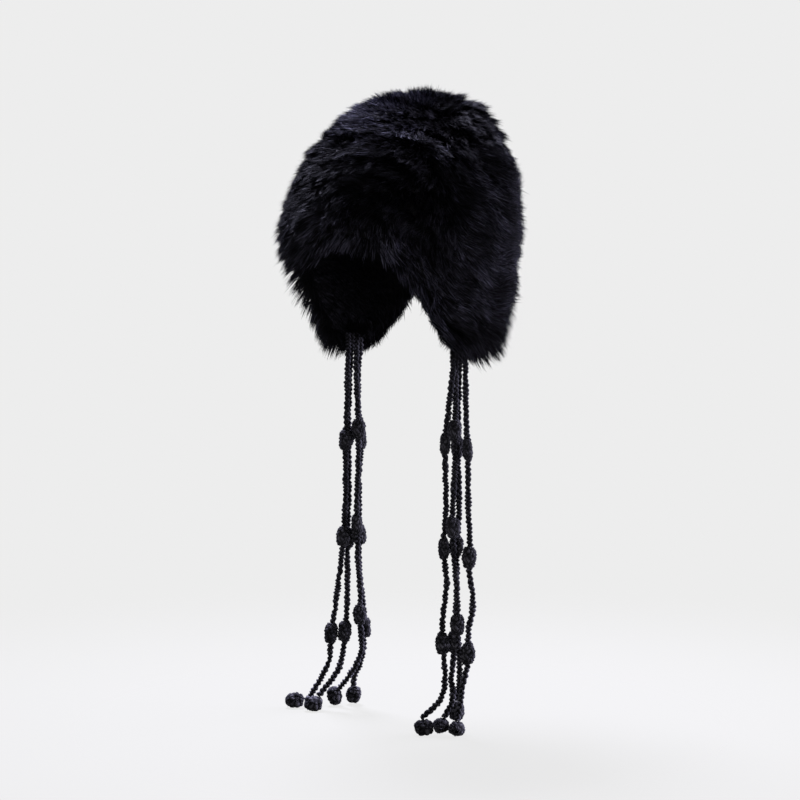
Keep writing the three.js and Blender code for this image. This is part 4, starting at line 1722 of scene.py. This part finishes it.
FUR = FibreFinish(
    name="black_fur",
    root_colour=(0.0008, 0.0008, 0.001),
    tip_colour=(0.135, 0.135, 0.175),
    patch_scale=35,
    patch_amount=0.02,
    roughness=0.6,
    specular=0.06,
)
# The inner fur's colour is far darker than the outer fur's: painted shade for the inside of the
# hat.
LINING = FibreFinish(
    name="inner_fur",
    root_colour=(0.0008, 0.0008, 0.001),
    tip_colour=(0.004, 0.004, 0.0055),
    patch_scale=40,
    patch_amount=0.05,
    roughness=0.7,
    specular=0.05,
)
CORD_YARN = FibreFinish(
    name="cord_yarn",
    root_colour=(0.0015, 0.0015, 0.002),
    tip_colour=(0.092, 0.091, 0.102),
    patch_scale=130,
    patch_amount=0.2,
    roughness=0.85,
    specular=0.1,
    sheen=0.02,
    base_tone=0.02,
    bump_distance=0.0002,
)
BOBBLE_YARN = FibreFinish(
    name="bobble_yarn",
    root_colour=(0.0015, 0.0015, 0.002),
    tip_colour=(0.092, 0.091, 0.099),
    patch_scale=90,
    patch_amount=0.25,
    roughness=0.9,
    specular=0.1,
    sheen=0.02,
    base_tone=0.04,
    bump_distance=0.0002,
)


@dataclass(frozen=True)
class Lamp:
    """A square soft light that faces the hat.

    Its place is to the right, towards the camera and up, in metres. Its size is the length of its
    side in metres, and its power is in watts.
    """

    name: str
    place: tuple[float, float, float]
    size: float
    power: float
    colour: tuple[float, float, float]


LAMPS = (
    Lamp("key", (-0.35, -0.75, 1.55), 0.7, 235, (0.75, 0.74, 1.0)),
    Lamp("left_rim", (-1.2, -0.5, -0.75), 0.6, 10, (0.75, 0.74, 1.0)),
    Lamp("right_rim", (1.3, -0.3, 0.05), 1.1, 82, (0.78, 0.75, 1.0)),
    Lamp("low_fill", (-0.35, 1.6, -0.75), 0.7, 15, (0.95, 0.92, 1.0)),
)


@dataclass(frozen=True)
class FloorFinish:
    """The floor's pale finish, clear at its rim.

    Its glow is what the room sees of it, and its seen glow is what the camera sees on top of that.
    The fade's ends are a distance from the middle in metres and a share of the floor's radius.
    """

    base_colour: tuple[float, float, float] = (0.03, 0.03, 0.026)
    glow: float = 0.1
    seen_glow: float = 0.675
    fade_start: float = 0.18
    fade_end: float = 0.95

    def make(self, radius: float) -> bpy.types.Material:
        """Builds the material for a floor of some radius."""
        material = bpy.data.materials.new("floor")
        material.use_nodes = True
        nodes, links = material.node_tree.nodes, material.node_tree.links
        shader = nodes["Principled BSDF"]
        shader.inputs["Base Color"].default_value = (*self.base_colour, 1)
        shader.inputs["Roughness"].default_value = 1
        shader.inputs["Specular IOR Level"].default_value = 0
        shader.inputs["Emission Color"].default_value = (1, 1, 1, 1)
        path = nodes.new("ShaderNodeLightPath")
        glow = math_node(nodes, "MULTIPLY_ADD", None, self.seen_glow, self.glow)
        links.new(path.outputs["Is Camera Ray"], glow.inputs[0])
        links.new(glow.outputs[0], shader.inputs["Emission Strength"])
        coordinates = nodes.new("ShaderNodeTexCoord")
        level = nodes.new("ShaderNodeVectorMath")
        level.operation = "MULTIPLY"
        level.inputs[1].default_value = (1, 1, 0)
        away = nodes.new("ShaderNodeVectorMath")
        away.operation = "LENGTH"
        fade = nodes.new("ShaderNodeMapRange")
        fade.interpolation_type = "SMOOTHSTEP"
        fade.inputs["From Min"].default_value = self.fade_start
        fade.inputs["From Max"].default_value = radius * self.fade_end
        fade.inputs["To Min"].default_value = 1
        fade.inputs["To Max"].default_value = 0
        links.new(coordinates.outputs["Object"], level.inputs[0])
        links.new(level.outputs[0], away.inputs[0])
        links.new(away.outputs["Value"], fade.inputs["Value"])
        links.new(fade.outputs["Result"], shader.inputs["Alpha"])
        return material


@dataclass
class Studio:
    """The camera, the soft lights, the pale floor and the backdrop."""

    backdrop: float = 0.847
    ambient: float = 0.01
    ambient_colour: tuple[float, float, float] = (0.95, 0.97, 1.0)
    aim_height: float = -0.12
    floor_radius: float = 0.9
    floor_sides: int = 96
    floor_rings: tuple[float, float] = (0.01, 1)
    floor_gap: float = 0.0005
    floor_finish: FloorFinish = FloorFinish()

    def add_camera(self) -> None:
        """Stands the camera where the photograph was taken."""
        data = bpy.data.cameras.new("view")
        data.sensor_width = SENSOR_WIDTH * MM_PER_M
        data.lens = data.sensor_width * FOCAL_PIXELS / PHOTO_SIZE
        camera = add_object("view", data)
        place = VIEW_DISTANCE * FORWARD + VIEW_HEIGHT * UP
        level = -FORWARD * math.cos(VIEW_TILT) + DOWN * math.sin(VIEW_TILT)
        heading = level - ACROSS * math.sin(AXIS_ASIDE)
        camera.location = place
        camera.rotation_euler = Vector(heading).to_track_quat("-Z", "Y").to_euler()
        bpy.context.scene.camera = camera

    def add_lights(self) -> None:
        """Lights the hat softly, strongest from the upper left."""
        for lamp in LAMPS:
            data = bpy.data.lights.new(lamp.name, "AREA")
            data.shape = "SQUARE"
            data.size = lamp.size
            data.energy = lamp.power
            data.color = lamp.colour
            light = add_object(lamp.name, data)
            where = lamp.place[0] * ACROSS + lamp.place[1] * FORWARD + lamp.place[2] * UP
            light.location = where
            aim = UP * self.aim_height - where
            light.rotation_euler = Vector(aim).to_track_quat("-Z", "Y").to_euler()

    def add_world(self) -> None:
        """Fills the background with its pale grey, and the room with a weaker light."""
        world = bpy.data.worlds.new("room")
        bpy.context.scene.world = world
        world.use_nodes = True
        nodes, links = world.node_tree.nodes, world.node_tree.links
        nodes.clear()
        seen = nodes.new("ShaderNodeBackground")
        seen.inputs["Color"].default_value = (self.backdrop, self.backdrop, self.backdrop, 1)
        room = nodes.new("ShaderNodeBackground")
        room.inputs["Color"].default_value = (*self.ambient_colour, 1)
        room.inputs["Strength"].default_value = self.ambient
        path = nodes.new("ShaderNodeLightPath")
        mix = nodes.new("ShaderNodeMixShader")
        out = nodes.new("ShaderNodeOutputWorld")
        links.new(path.outputs["Is Camera Ray"], mix.inputs["Fac"])
        links.new(room.outputs[0], mix.inputs[1])
        links.new(seen.outputs[0], mix.inputs[2])
        links.new(mix.outputs[0], out.inputs["Surface"])

    def add_floor(self) -> None:
        """Lays a pale round floor that fades out into the backdrop."""
        sides = self.floor_sides
        turn = even_turns(sides)
        circle = np.stack([np.cos(turn), np.sin(turn), np.zeros(sides)], -1)
        vertices = np.concatenate([circle * self.floor_radius * r for r in self.floor_rings])
        vertices[:, 2] = FLOOR_HEIGHT - self.floor_gap
        mesh = bpy.data.meshes.new("floor")
        faces = [tuple(range(sides))]
        faces += [tuple(face) for face in grid_faces(len(self.floor_rings), sides, closed=True)]
        mesh.from_pydata([tuple(v) for v in vertices], [], faces)
        mesh.materials.append(self.floor_finish.make(self.floor_radius))
        add_object("floor", mesh)

    def build(self) -> None:
        """Sets up the whole studio."""
        self.add_camera()
        self.add_lights()
        self.add_world()
        self.add_floor()
        bpy.context.scene.view_settings.view_transform = "Standard"


def main() -> None:
    """Builds the studio, the cords and then the hat."""
    logging.basicConfig(level=logging.INFO, format="%(message)s")
    Studio().build()
    cord_material = CORD_YARN.make()
    bobble_material = BOBBLE_YARN.make()
    for plan in CORD_PLANS:
        Cord(plan, cord_material, bobble_material).build()
    form = HatForm()
    KnitLining(form, LINING.make()).build()
    FurPile(form, FUR.make()).build()


if __name__ == "__main__":
    main()
